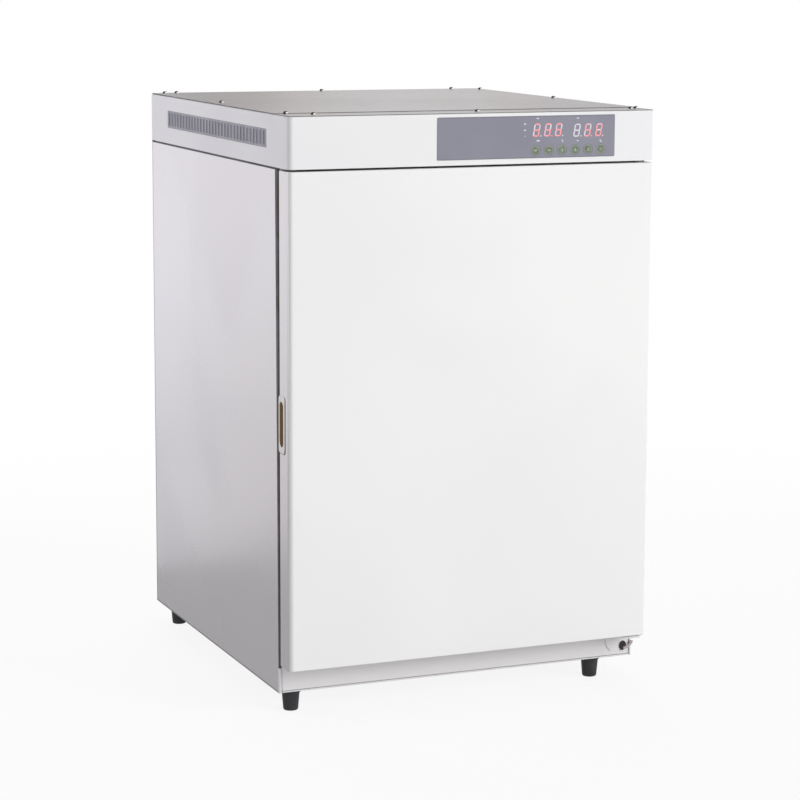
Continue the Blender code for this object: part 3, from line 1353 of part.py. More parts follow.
def build_head():
    """Cowl, floor pan, top plate, vent grilles and power supply."""
    back = BACK_Y - SHEET - FIT

    def cowl_row(inset, z):
        path = [
            (-(HALF_WIDTH - inset), back),
            (-(HALF_WIDTH - inset), FRONT_Y + inset),
            (HALF_WIDTH - inset, FRONT_Y + inset),
            (HALF_WIDTH - inset, back),
        ]
        return level(rounded_path(path, max(COWL_RADIUS - inset, FIT), 5), z)

    rows = [cowl_row(0.0, HEAD_LOW), cowl_row(0.0, COWL_TOP - FIT), cowl_row(COWL_FLANGE, COWL_TOP - FIT)]
    cowl = skin("head_cowl", rows, WHITE_ENAMEL, SHEET, closed=False)

    half = HALF_WIDTH - SHEET - FIT
    head_floor = block(
        "head_floor", (-half, FRONT_Y + SHEET + FIT, HEAD_LOW), (half, back, HEAD_LOW + SHEET), ZINC_STEEL
    )
    for corner in (-1, 1):
        notch = block(
            "floor_notch",
            (corner * HALF_WIDTH - COWL_RADIUS, FRONT_Y - CUT_MARGIN, HEAD_LOW - CUT_MARGIN),
            (corner * HALF_WIDTH + COWL_RADIUS, FRONT_Y + COWL_RADIUS, HEAD_LOW + CUT_MARGIN),
        )
        cut(notch, head_floor)
    flange_front = FACE_Y + SHEET + FIT
    flange_back = back - SHEET - FIT
    flange_y = ((flange_front + flange_back) / 2, (flange_back - flange_front) / 2)
    outline = round_rectangle(half, flange_y[1], BEND_RADIUS, (0.0, flange_y[0]), steps=1)
    rows = [level(outline, HEAD_LOW - FLOOR_FLANGE), level(outline, HEAD_LOW + SHEET / 2)]
    join(head_floor, skin("floor_flange", rows, wall=SHEET))

    def top_ring(inset, z):
        mid_y = (FRONT_Y + back) / 2
        half_depth = (back - FRONT_Y) / 2
        outline = round_rectangle(
            HALF_WIDTH - TOP_INSET - inset, half_depth - TOP_INSET - inset, COWL_RADIUS - inset, (0.0, mid_y)
        )
        return level(outline, z)

    rows = [top_ring(0.0, COWL_TOP)]
    for step in range(3):
        angle = step / 2 * math.pi / 2
        rows.append(top_ring(TOP_RADIUS * (1 - math.cos(angle)), TOP_Z - TOP_RADIUS * (1 - math.sin(angle))))
    skin("top_plate", rows, STAINLESS, SHEET, last_cap=True)

    vent_back = BACK_Y - VENT_FROM_BACK
    vent_low = HEAD_LOW + VENT_RISE
    edge = rectangle((vent_back - VENT_LENGTH, vent_low), (vent_back, vent_low + VENT_HEIGHT))
    opening = rectangle(
        (vent_back - VENT_LENGTH - FIT, vent_low - FIT), (vent_back + FIT, vent_low + VENT_HEIGHT + FIT)
    )
    cut(plate("vent_opening", [opening], "YZ", -HALF_WIDTH - CUT_MARGIN, HALF_WIDTH + CUT_MARGIN), cowl)
    slots = []
    pitch = (VENT_LENGTH - 2 * VENT_BORDER) / VENT_SLOTS
    for index in range(VENT_SLOTS):
        y = vent_back - VENT_BORDER - (index + 0.5) * pitch
        slots.append(
            rectangle(
                (y - VENT_SLOT_WIDTH / 2, vent_low + VENT_BORDER),
                (y + VENT_SLOT_WIDTH / 2, vent_low + VENT_HEIGHT - VENT_BORDER),
            )
        )
    for side, name in ((1, "vent_grille_right"), (-1, "vent_grille_left")):
        outer = side * (HALF_WIDTH - FIT)
        inner = side * (HALF_WIDTH - FIT - SHEET)
        plate(name, [edge, *slots], "YZ", min(outer, inner), max(outer, inner), GREY_PLASTIC)

    low = Vector((SUPPLY_FROM_LEFT - HALF_WIDTH, 0.0, HEAD_LOW + SHEET + FIT))
    block("power_supply", low, low + Vector(SUPPLY_SIZE), ZINC_STEEL, bevel=0.002)
    return cowl, head_floor


def build_control_panel(cowl):
    """The panel with its display windows and keys, and the display board behind it."""
    low = (PANEL_LEFT, PANEL_LOW)
    high = (PANEL_RIGHT, PANEL_LOW + PANEL_HEIGHT)
    centre = ((low[0] + high[0]) / 2, (low[1] + high[1]) / 2)
    edge = round_rectangle(PANEL_WIDTH / 2, PANEL_HEIGHT / 2, PANEL_RADIUS, centre, steps=2)
    windows = []
    for x in WINDOW_CENTRES:
        window = (x, PANEL_LOW + WINDOW_RISE)
        windows.append(round_rectangle(WINDOW_WIDTH / 2, WINDOW_HEIGHT / 2, PANEL_RADIUS, window, steps=2))
    holes = [circle((x, PANEL_LOW + KEY_RISE), KEY_RADIUS + KEY_CLEARANCE, 16) for x in KEY_CENTRES]
    face = FRONT_Y - PANEL_PROUD
    plate("control_panel", [edge, *windows, *holes], "XZ", face, FRONT_Y - FIT, PANEL_FILM)
    half = (PANEL_WIDTH / 2 - PANEL_FRAME[0], PANEL_HEIGHT / 2 - PANEL_FRAME[1])
    frame = round_rectangle(*half, PANEL_RADIUS, centre, steps=2)
    cut(plate("panel_opening", [frame], "XZ", FRONT_Y - CUT_MARGIN, FRONT_Y + CUT_MARGIN), cowl)

    board_y = FRONT_Y + BOARD_GAP
    board_low = (low[0] + BOARD_INSET[0], low[1] + BOARD_INSET[1])
    board_high = (high[0] - BOARD_INSET[1], high[1] - BOARD_INSET[1])
    board_edge = rectangle(board_low, board_high)
    board = plate("display_board", [board_edge], "XZ", board_y, board_y + BOARD_SHEET, BOARD_GREEN)
    for number, x in enumerate(WINDOW_CENTRES):
        window_z = PANEL_LOW + WINDOW_RISE
        display = block(
            f"display_{number}",
            (x - WINDOW_WIDTH / 2 + FIT, FRONT_Y, window_z - WINDOW_HEIGHT / 2 + FIT),
            (x + WINDOW_WIDTH / 2 - FIT, board_y + BOARD_SHEET / 2, window_z + WINDOW_HEIGHT / 2 - FIT),
        )
        join(board, display)

    stem_end = board_y - face - KEY_TRAVEL - FIT
    profile = [
        (0.0, stem_end),
        (KEY_STEM, stem_end),
        (KEY_STEM, KEY_HEAD),
        (KEY_RADIUS, KEY_HEAD),
        (KEY_RADIUS, KEY_EDGE),
        (KEY_RADIUS - KEY_EDGE, 0.0),
        (0.0, 0.0),
    ]
    for name, x in zip(KEY_NAMES, KEY_CENTRES):
        place = (x, face, PANEL_LOW + KEY_RISE)
        key = turned(name, profile, place, "Y", KEY_OLIVE, sides=16)
        pivot(name + "_slide", place, key)


def build():
    clear_scene()
    insulation = build_case()
    build_feet()
    liner, jacket = build_chamber()
    build_racks()
    build_shelves()
    build_tray()
    walls = (liner, jacket, insulation)
    build_duct()
    build_fan(walls)
    build_access_port(walls)
    build_probe_and_sensor(walls)
    build_gas_line(walls)
    build_back_panel()
    build_power_inlet()
    build_glass_door()
    build_outer_door()
    cowl, head_floor = build_head()
    build_hinges(head_floor)
    build_control_panel(cowl)


build()
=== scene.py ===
"""Looks of an air-jacketed laboratory incubator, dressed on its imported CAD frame.

Metres, +Z up, the doors face -Y. Each sub-assembly is a class that models its own pieces, gives them a finish
and lets them ride on the CAD body that carries them.
"""

import json
import logging
import math
from collections.abc import Callable, Iterable, Sequence
from dataclasses import dataclass
from enum import Enum

import bmesh
import bpy
from mathutils import Matrix, Vector


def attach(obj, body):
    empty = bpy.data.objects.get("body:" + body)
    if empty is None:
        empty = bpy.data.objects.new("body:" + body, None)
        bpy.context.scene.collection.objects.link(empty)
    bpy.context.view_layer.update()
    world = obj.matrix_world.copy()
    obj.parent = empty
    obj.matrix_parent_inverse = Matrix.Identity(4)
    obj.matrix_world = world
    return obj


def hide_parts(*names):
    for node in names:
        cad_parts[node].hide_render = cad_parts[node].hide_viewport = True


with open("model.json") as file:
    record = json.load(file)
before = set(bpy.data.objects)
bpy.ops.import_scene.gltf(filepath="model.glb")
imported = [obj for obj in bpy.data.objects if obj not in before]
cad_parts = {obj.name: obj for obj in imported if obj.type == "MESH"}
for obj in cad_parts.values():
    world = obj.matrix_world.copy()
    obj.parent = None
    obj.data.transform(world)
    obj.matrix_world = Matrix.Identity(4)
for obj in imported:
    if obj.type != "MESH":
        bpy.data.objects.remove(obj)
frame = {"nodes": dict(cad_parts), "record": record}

Point = tuple[float, float, float]
Colour = tuple[float, float, float]
Pair = tuple[float, float]
Test = Callable[[Vector, Vector], bool]

log = logging.getLogger("incubator")
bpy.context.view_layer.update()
TINY = 0.00002
GAP = 0.0003


class Axis(Enum):
    """The row frame's axes."""

    X = 0
    Y = 1
    Z = 2

    @property
    def way(self) -> Vector:
        """The unit vector along the axis."""
        return Vector([1.0 if number == self.value else 0.0 for number in range(3)])


class Surface(Enum):
    """How a material's small relief and tone are laid out."""

    PAINTED = "painted"
    BRUSHED = "brushed"
    PLATED = "plated"
    MOULDED = "moulded"
    FIBROUS = "fibrous"
    PRINTED = "printed"


class Sheet:
    """A node tree that is filled in one node at a time."""

    def __init__(self, tree: bpy.types.NodeTree) -> None:
        """Takes the tree to fill.

        Args:
            tree: the material's or group's own tree.
        """
        self.tree = tree

    def add(self, kind: str, **values: object) -> bpy.types.Node:
        """Adds a node.

        Args:
            kind: Blender's name of the node type.
            values: properties of the node, or input values, named "in_" and the input's name with
                underscores.

        Returns:
            The new node.
        """
        node = self.tree.nodes.new(kind)
        for name, value in values.items():
            if name.startswith("in_"):
                self.put(node, name[3:].replace("_", " "), value)
            else:
                setattr(node, name, value)
        return node

    def put(self, node: bpy.types.Node, name: str | int, value: object) -> None:
        """Links an input to a socket, or sets it to a value.

        Args:
            node: the node whose input it is.
            name: the input's name or number.
            value: an output socket, a number, a vector or a colour.
        """
        socket = node.inputs[name]
        if isinstance(value, bpy.types.NodeSocket):
            self.tree.links.new(value, socket)
        else:
            socket.default_value = value


class SharedEffects:
    """Shader node groups that several materials use."""

    @staticmethod
    def _group(
        name: str, inputs: dict[str, tuple[str, object]], outputs: dict[str, str]
    ) -> bpy.types.NodeTree:
        """Makes an empty group with its sockets.

        Args:
            name: the group's name.
            inputs: each input's socket type and first value.
            outputs: each output's socket type.

        Returns:
            The group's tree.
        """
        tree = bpy.data.node_groups.new(name, "ShaderNodeTree")
        for label, (kind, value) in inputs.items():
            socket = tree.interface.new_socket(label, in_out="INPUT", socket_type=kind)
            socket.default_value = value
        for label, kind in outputs.items():
            tree.interface.new_socket(label, in_out="OUTPUT", socket_type=kind)
        return tree

    @classmethod
    def surface_grain(cls) -> bpy.types.NodeTree:
        """Fine relief from noise that is stretched by a scale for each axis.

        Returns:
            The group, with the outputs Normal and Grain.
        """
        found = bpy.data.node_groups.get("surface_grain")
        if found:
            return found
        tree = cls._group(
            "surface_grain",
            {
                "Stretch": ("NodeSocketVector", (1.0, 1.0, 1.0)),
                "Fineness": ("NodeSocketFloat", 300.0),
                "Depth": ("NodeSocketFloat", 0.00002),
            },
            {"Normal": "NodeSocketVector", "Grain": "NodeSocketFloat"},
        )
        sheet = Sheet(tree)
        given = sheet.add("NodeGroupInput").outputs
        made = sheet.add("NodeGroupOutput")
        place = sheet.add("ShaderNodeTexCoord").outputs["Object"]
        placed = sheet.add("ShaderNodeMapping", in_Vector=place, in_Scale=given["Stretch"])
        noise = sheet.add(
            "ShaderNodeTexNoise",
            in_Vector=placed.outputs["Vector"],
            in_Scale=given["Fineness"],
            in_Detail=3.0,
            in_Roughness=0.55,
        )
        relief = sheet.add("ShaderNodeBump", in_Height=noise.outputs["Fac"], in_Distance=given["Depth"])
        relief.inputs["Strength"].default_value = 1.0
        sheet.put(made, "Normal", relief.outputs["Normal"])
        sheet.put(made, "Grain", noise.outputs["Fac"])
        return tree

    @classmethod
    def cloud_marks(cls) -> bpy.types.NodeTree:
        """Large soft patches, such as uneven polish, wiped film or light soiling.

        Returns:
            The group, with the output Mask.
        """
        found = bpy.data.node_groups.get("cloud_marks")
        if found:
            return found
        tree = cls._group(
            "cloud_marks",
            {
                "Stretch": ("NodeSocketVector", (1.0, 1.0, 1.0)),
                "Spread": ("NodeSocketFloat", 4.0),
                "Low": ("NodeSocketFloat", 0.35),
                "High": ("NodeSocketFloat", 0.65),
            },
            {"Mask": "NodeSocketFloat"},
        )
        sheet = Sheet(tree)
        given = sheet.add("NodeGroupInput").outputs
        made = sheet.add("NodeGroupOutput")
        place = sheet.add("ShaderNodeTexCoord").outputs["Object"]
        placed = sheet.add("ShaderNodeMapping", in_Vector=place, in_Scale=given["Stretch"])
        noise = sheet.add(
            "ShaderNodeTexNoise",
            in_Vector=placed.outputs["Vector"],
            in_Scale=given["Spread"],
            in_Detail=2.0,
            in_Distortion=0.4,
        )
        ramp = sheet.add("ShaderNodeMapRange", interpolation_type="SMOOTHSTEP")
        sheet.put(ramp, "Value", noise.outputs["Fac"])
        sheet.put(ramp, "From Min", given["Low"])
        sheet.put(ramp, "From Max", given["High"])
        sheet.put(made, "Mask", ramp.outputs["Result"])
        return tree

    @classmethod
    def handled_spot(cls) -> bpy.types.NodeTree:
        """A mask that fades out from a point, broken up by noise, for places that fingers touch.

        Returns:
            The group, with the output Mask.
        """
        found = bpy.data.node_groups.get("handled_spot")
        if found:
            return found
        tree = cls._group(
            "handled_spot",
            {"Centre": ("NodeSocketVector", (0.0, 0.0, 0.0)), "Reach": ("NodeSocketFloat", 0.05)},
            {"Mask": "NodeSocketFloat"},
        )
        sheet = Sheet(tree)
        given = sheet.add("NodeGroupInput").outputs
        made = sheet.add("NodeGroupOutput")
        place = sheet.add("ShaderNodeTexCoord").outputs["Object"]
        far = sheet.add("ShaderNodeVectorMath", operation="DISTANCE")
        sheet.put(far, 0, place)
        sheet.put(far, 1, given["Centre"])
        share = sheet.add("ShaderNodeMapRange", interpolation_type="SMOOTHSTEP")
        sheet.put(share, "Value", far.outputs["Value"])
        sheet.put(share, "From Max", given["Reach"])
        sheet.put(share, "To Min", 1.0)
        sheet.put(share, "To Max", 0.0)
        smudge = sheet.add("ShaderNodeTexNoise", in_Vector=place, in_Scale=90.0, in_Detail=4.0)
        mask = sheet.add("ShaderNodeMath", operation="MULTIPLY")
        sheet.put(mask, 0, share.outputs["Result"])
        sheet.put(mask, 1, smudge.outputs["Fac"])
        sheet.put(made, "Mask", mask.outputs["Value"])
        return tree


@dataclass(frozen=True)
class Finish:
    """One finish of the incubator, as paint, metal, plastic or print."""

    name: str
    slot: str
    surface: Surface
    colour: Colour
    shade: Colour
    smooth: float
    rough: float
    metal: float = 0.0
    stretch: Point = (1.0, 1.0, 1.0)
    fineness: float = 400.0
    depth: float = 0.00001
    spread: float = 5.0
    patches: Pair = (0.35, 0.65)
    coat: float = 0.0
    glow: float = 0.0
    touched: Point | None = None
    anisotropic: float = 0.0
    specular: float = 0.5

    def material(self) -> bpy.types.Material:
        """The finish as a material, built the first time that it is asked for.

        Returns:
            The material.
        """
        label = self.name + "_finish"
        found = bpy.data.materials.get(label)
        if found:
            return found
        made = bpy.data.materials.new(label)
        made.use_nodes = True
        sheet = Sheet(made.node_tree)
        shader = made.node_tree.nodes["Principled BSDF"]
        grain = sheet.add("ShaderNodeGroup", node_tree=SharedEffects.surface_grain())
        sheet.put(grain, "Stretch", self.stretch)
        sheet.put(grain, "Fineness", self.fineness)
        sheet.put(grain, "Depth", self.depth)
        clouds = sheet.add("ShaderNodeGroup", node_tree=SharedEffects.cloud_marks())
        sheet.put(clouds, "Spread", self.spread)
        sheet.put(clouds, "Low", self.patches[0])
        sheet.put(clouds, "High", self.patches[1])
        if self.surface in (Surface.BRUSHED, Surface.FIBROUS):
            sheet.put(
                clouds, "Stretch", tuple(0.3 + 0.7 * value / max(self.stretch) for value in self.stretch)
            )
        mask = clouds.outputs["Mask"]
        tone = self._mixed(sheet, mask, self.colour, self.shade)
        if self.surface in (Surface.FIBROUS, Surface.BRUSHED):
            darker = tuple(0.86 * value for value in self.shade)
            streak = self._ranged(sheet, grain.outputs["Grain"], (0.35, 0.75), (0.0, 0.5))
            tone = self._mixed(sheet, streak, tone, darker)
        sheet.put(shader, "Base Color", tone)
        source = grain.outputs["Grain"] if self.surface is Surface.BRUSHED else mask
        roughness = self._ranged(sheet, source, (0.2, 0.8), (self.smooth, self.rough))
        if self.touched:
            spot = sheet.add("ShaderNodeGroup", node_tree=SharedEffects.handled_spot())
            sheet.put(spot, "Centre", self.touched)
            sheet.put(spot, "Reach", 0.06)
            more = sheet.add("ShaderNodeMath", operation="MULTIPLY_ADD")
            sheet.put(more, 0, spot.outputs["Mask"])
            sheet.put(more, 1, 0.22)
            sheet.put(more, 2, roughness)
            roughness = more.outputs["Value"]
        sheet.put(shader, "Roughness", roughness)
        sheet.put(shader, "Normal", grain.outputs["Normal"])
        shader.inputs["Metallic"].default_value = self.metal
        shader.inputs["Coat Weight"].default_value = self.coat
        shader.inputs["Coat Roughness"].default_value = 0.12
        shader.inputs["Anisotropic"].default_value = self.anisotropic
        shader.inputs["Specular IOR Level"].default_value = self.specular
        if self.glow:
            sheet.put(shader, "Emission Color", (*self.colour, 1.0))
            shader.inputs["Emission Strength"].default_value = self.glow
        return made

    @staticmethod
    def _mixed(sheet: Sheet, share: object, first: object, second: object) -> bpy.types.NodeSocket:
        """Mixes two colours by a mask.

        Args:
            sheet: the tree to add to.
            share: the mask's socket.
            first: a colour or socket where the mask is 0.
            second: a colour or socket where the mask is 1.

        Returns:
            The mixed colour's socket.
        """
        mix = sheet.add("ShaderNodeMix", data_type="RGBA")
        sheet.put(mix, 0, share)
        for number, value in ((6, first), (7, second)):
            sheet.put(mix, number, (*value, 1.0) if isinstance(value, tuple) else value)
        return mix.outputs[2]

    @staticmethod
    def _ranged(sheet: Sheet, value: object, taken: Pair, given: Pair) -> bpy.types.NodeSocket:
        """Maps a value from one range to another.

        Args:
            sheet: the tree to add to.
            value: the socket to map.
            taken: the range it comes in.
            given: the range it leaves in.

        Returns:
            The mapped value's socket.
        """
        ranged = sheet.add("ShaderNodeMapRange")
        sheet.put(ranged, "Value", value)
        for label, number in zip(("From Min", "From Max", "To Min", "To Max"), (*taken, *given)):
            sheet.put(ranged, label, number)
        return ranged.outputs["Result"]


@dataclass(frozen=True)
class ClearFinish:
    """Glass, which lets light through."""

    name: str
    slot: str
    colour: Colour
    rough: float = 0.02

    def material(self) -> bpy.types.Material:
        """The glass as a material, built the first time that it is asked for.

        Returns:
            The material.
        """
        label = self.name + "_finish"
        found = bpy.data.materials.get(label)
        if found:
            return found
        made = bpy.data.materials.new(label)
        made.use_nodes = True
        sheet = Sheet(made.node_tree)
        shader = made.node_tree.nodes["Principled BSDF"]
        clouds = sheet.add("ShaderNodeGroup", node_tree=SharedEffects.cloud_marks())
        sheet.put(clouds, "Spread", 9.0)
        wiped = Finish._ranged(sheet, clouds.outputs["Mask"], (0.0, 1.0), (self.rough, self.rough + 0.05))
        edge = tuple(value * 0.97 for value in self.colour)
        sheet.put(shader, "Base Color", Finish._mixed(sheet, clouds.outputs["Mask"], self.colour, edge))
        sheet.put(shader, "Roughness", wiped)
        shader.inputs["Transmission Weight"].default_value = 1.0
        shader.inputs["IOR"].default_value = 1.47
        return made


class Palette:
    """Every finish that the incubator has."""

    FRONT_ENAMEL = Finish(
        "front_enamel", "white_enamel", Surface.PAINTED, (0.88, 0.88, 0.875), (0.855, 0.855, 0.853), 0.34,
        0.42, fineness=700.0, depth=0.000012, spread=3.0, coat=0.12, touched=(-0.275, -0.305, 0.413),
    )
    CASE_ENAMEL = Finish(
        "case_enamel", "white_enamel", Surface.PAINTED, (0.79, 0.765, 0.785), (0.76, 0.735, 0.76), 0.24, 0.33,
        metal=0.85, fineness=600.0, depth=0.000008, spread=2.2,
    )
    BASE_ENAMEL = Finish(
        "base_enamel", "white_enamel", Surface.PAINTED, (0.87, 0.845, 0.855), (0.835, 0.815, 0.825), 0.27,
        0.36, metal=0.25, fineness=600.0, depth=0.000010, spread=2.2,
    )
    # Dark paint for painted shade along the case's folds and lower edges.
    EDGE_PAINTED_SHADE = Finish(
        "edge_painted_shade", "white_enamel", Surface.PAINTED, (0.34, 0.32, 0.325), (0.29, 0.275, 0.28), 0.45, 0.6,
        fineness=600.0, depth=0.000010, spread=30.0,
    )
    HEAD_ENAMEL = Finish(
        "head_enamel", "white_enamel", Surface.PAINTED, (0.85, 0.85, 0.85), (0.82, 0.815, 0.83), 0.32, 0.40,
        fineness=700.0, depth=0.000012, spread=3.0, coat=0.15,
    )
    TOP_STEEL = Finish(
        "top_steel", "stainless", Surface.BRUSHED, (0.304, 0.284, 0.273), (0.278, 0.259, 0.248), 0.24, 0.36,
        metal=0.9, stretch=(0.04, 1.0, 1.0), fineness=420.0, depth=0.000003, spread=5.5, patches=(0.38, 0.66),
        anisotropic=0.2,
    )
    # Dark finish that paints shade on the top plate's edges and on the step of its fold.
    TOP_EDGE_PAINTED_SHADE = Finish(
        "top_edge_painted_shade", "stainless", Surface.PLATED, (0.17, 0.16, 0.16), (0.14, 0.13, 0.13), 0.4, 0.55, metal=0.3,
        fineness=420.0, depth=0.000003, spread=40.0,
    )
    CHAMBER_STEEL = Finish(
        "chamber_steel", "stainless", Surface.BRUSHED, (0.60, 0.585, 0.565), (0.52, 0.505, 0.49), 0.22, 0.36,
        metal=1.0, stretch=(1.0, 1.0, 0.04), fineness=420.0, depth=0.000006, anisotropic=0.3,
    )
    SHELF_STEEL = Finish(
        "shelf_steel", "stainless", Surface.BRUSHED, (0.62, 0.605, 0.585), (0.54, 0.525, 0.51), 0.20, 0.34,
        metal=1.0, stretch=(0.04, 1.0, 1.0), fineness=420.0, depth=0.000006, anisotropic=0.3,
    )
    ZINC_STEEL = Finish(
        "zinc_steel", "zinc_steel", Surface.PLATED, (0.56, 0.57, 0.58), (0.47, 0.48, 0.49), 0.30, 0.48,
        metal=1.0, fineness=120.0, depth=0.00002, spread=38.0, patches=(0.42, 0.58),
    )
    SCREW_STEEL = Finish(
        "screw_steel", "zinc_steel", Surface.PLATED, (0.050, 0.047, 0.045), (0.030, 0.028, 0.027), 0.12, 0.20,
        metal=0.7, fineness=900.0, depth=0.00001, spread=300.0,
    )
    # Near-white finish that paints a highlight on the screw heads.
    SCREW_PAINTED_GLINT = Finish(
        "screw_painted_glint", "zinc_steel", Surface.PLATED, (0.93, 0.92, 0.90), (0.86, 0.85, 0.83), 0.10, 0.20,
        metal=0.6, fineness=900.0, depth=0.00001, spread=300.0,
    )
    STAY_STEEL = Finish(
        "stay_steel", "zinc_steel", Surface.PLATED, (0.52, 0.45, 0.48), (0.47, 0.41, 0.44), 0.30, 0.42,
        metal=0.3, fineness=700.0, depth=0.00001, spread=120.0,
    )
    CHROME = Finish(
        "pull_chrome", "chrome", Surface.PLATED, (0.80, 0.78, 0.76), (0.74, 0.72, 0.70), 0.14, 0.26,
        metal=0.8, fineness=900.0, depth=0.000002, spread=60.0,
    )
    # Brown tone that paints the shade and reflection inside the pull's slot.
    PULL_SLOT_PAINTED_REFLECTION = Finish(
        "pull_slot_painted_reflection", "chrome", Surface.PLATED, (0.42, 0.31, 0.13), (0.38, 0.25, 0.14), 0.4, 0.5, metal=0.2,
        fineness=900.0, depth=0.000004, spread=80.0,
    )
    BLACK_PLASTIC = Finish(
        "black_plastic", "black_plastic", Surface.MOULDED, (0.028, 0.028, 0.031), (0.022, 0.022, 0.024), 0.36,
        0.5, fineness=1400.0, depth=0.00003, spread=40.0,
    )
    VENT_PLASTIC = Finish(
        "vent_plastic", "grey_plastic", Surface.MOULDED, (0.37, 0.37, 0.405), (0.35, 0.35, 0.385), 0.42, 0.55,
        fineness=1400.0, depth=0.00002, spread=30.0,
    )
    FILTER_WEAVE = Finish(
        "filter_weave", "grey_plastic", Surface.FIBROUS, (0.325, 0.325, 0.36), (0.30, 0.30, 0.335), 0.8, 0.95,
        fineness=1600.0, depth=0.00006, spread=60.0,
    )
    WHITE_PLASTIC = Finish(
        "white_plastic", "white_plastic", Surface.MOULDED, (0.78, 0.78, 0.76), (0.74, 0.74, 0.72), 0.36, 0.48,
        fineness=1200.0, depth=0.00002, spread=12.0,
    )
    SILICONE = Finish(
        "silicone", "silicone", Surface.MOULDED, (0.66, 0.66, 0.64), (0.60, 0.60, 0.58), 0.5, 0.65,
        fineness=900.0, depth=0.00003, spread=30.0,
    )
    # Dark rubber of the door gasket; the side panels also use it to paint the shade of the gap beside the
    # door.
    GASKET_RUBBER_AND_GAP_SHADE = Finish(
        "gasket_rubber_and_gap_shade", "silicone", Surface.MOULDED, (0.105, 0.098, 0.100), (0.075, 0.066, 0.055), 0.5, 0.65,
        fineness=900.0, depth=0.00003, spread=30.0,
    )
    SHADOW_PAINT = Finish(
        "shadow_paint", "zinc_steel", Surface.PAINTED, (0.090, 0.080, 0.086), (0.075, 0.067, 0.072), 0.5,
        0.65, fineness=600.0, depth=0.00001, spread=12.0,
    )
    RUBBER = Finish(
        "foot_rubber", "black_rubber", Surface.MOULDED, (0.028, 0.028, 0.032), (0.040, 0.040, 0.043), 0.42,
        0.6, fineness=1100.0, depth=0.00006, spread=70.0,
    )
    PANEL_FILM = Finish(
        "panel_film", "panel_film", Surface.PRINTED, (0.258, 0.256, 0.311), (0.238, 0.236, 0.290), 0.34, 0.42,
        fineness=1500.0, depth=0.00001, spread=9.0, coat=0.1,
    )
    KEY_OLIVE = Finish(
        "key_olive", "olive_plastic", Surface.MOULDED, (0.200, 0.232, 0.190), (0.135, 0.175, 0.125), 0.38,
        0.5, fineness=1400.0, depth=0.00001, spread=200.0,
    )
    KEY_RING = Finish(
        "key_ring", "olive_plastic", Surface.PRINTED, (0.44, 0.47, 0.40), (0.41, 0.44, 0.37), 0.4, 0.5,
        fineness=1400.0, depth=0.000005, spread=200.0,
    )
    KEY_SIGN = Finish(
        "key_sign", "olive_plastic", Surface.PRINTED, (0.52, 0.57, 0.42), (0.47, 0.52, 0.38), 0.4, 0.5,
        fineness=1400.0, depth=0.000005, spread=200.0,
    )
    LIT_SEGMENT = Finish(
        "lit_segment", "panel_film", Surface.PRINTED, (0.86, 0.26, 0.27), (0.84, 0.34, 0.34), 0.3, 0.4,
        fineness=800.0, depth=0.000004, spread=400.0, glow=0.25,
    )
    WARM_SEGMENT = Finish(
        "warm_segment", "panel_film", Surface.PRINTED, (0.78, 0.52, 0.64), (0.74, 0.46, 0.58), 0.3, 0.4,
        fineness=800.0, depth=0.000004, spread=400.0, glow=0.1,
    )
    # Unlit segments with a faint glow, painted light on segments that are not lit.
    UNLIT_SEGMENT_PAINTED_GLOW = Finish(
        "unlit_segment_painted_glow", "panel_film", Surface.PRINTED, (0.74, 0.70, 0.76), (0.68, 0.64, 0.70), 0.3, 0.4,
        fineness=800.0, depth=0.000004, spread=400.0, glow=0.05,
    )
    PRINT_WHITE = Finish(
        "panel_print", "panel_film", Surface.PRINTED, (0.68, 0.69, 0.80), (0.62, 0.63, 0.74), 0.4, 0.5,
        fineness=900.0, depth=0.000004, spread=300.0,
    )
    PANEL_EDGE = Finish(
        "panel_edge", "panel_film", Surface.PRINTED, (0.150, 0.148, 0.180), (0.130, 0.128, 0.160), 0.4, 0.5,
        fineness=900.0, depth=0.000004, spread=300.0,
    )
    BOARD = Finish(
        "circuit_board", "circuit_board", Surface.PRINTED, (0.04, 0.19, 0.08), (0.03, 0.15, 0.06), 0.3, 0.45,
        fineness=900.0, depth=0.00002, spread=70.0,
    )
    FOAM = Finish(
        "door_foam", "foam", Surface.MOULDED, (0.80, 0.74, 0.55), (0.72, 0.65, 0.46), 0.85, 0.95,
        fineness=500.0, depth=0.0004, spread=25.0, specular=0.2,
    )
    WOOL = Finish(
        "mineral_wool", "mineral_wool", Surface.FIBROUS, (0.72, 0.63, 0.40), (0.60, 0.50, 0.30), 0.9, 1.0,
        stretch=(1.0, 1.0, 6.0), fineness=120.0, depth=0.0015, spread=18.0, specular=0.1,
    )
    HEATER = Finish(
        "heater_film", "heater_film", Surface.PRINTED, (0.50, 0.25, 0.08), (0.42, 0.20, 0.06), 0.35, 0.45,
        fineness=500.0, depth=0.00002, spread=16.0,
    )
    BRASS = Finish(
        "brass", "brass", Surface.PLATED, (0.66, 0.50, 0.23), (0.58, 0.43, 0.19), 0.22, 0.34, metal=1.0,
        fineness=700.0, depth=0.00001, spread=80.0,
    )
    GLASS = ClearFinish("clear_glass", "clear_glass", (0.93, 0.97, 0.955))


AnyFinish = Finish | ClearFinish


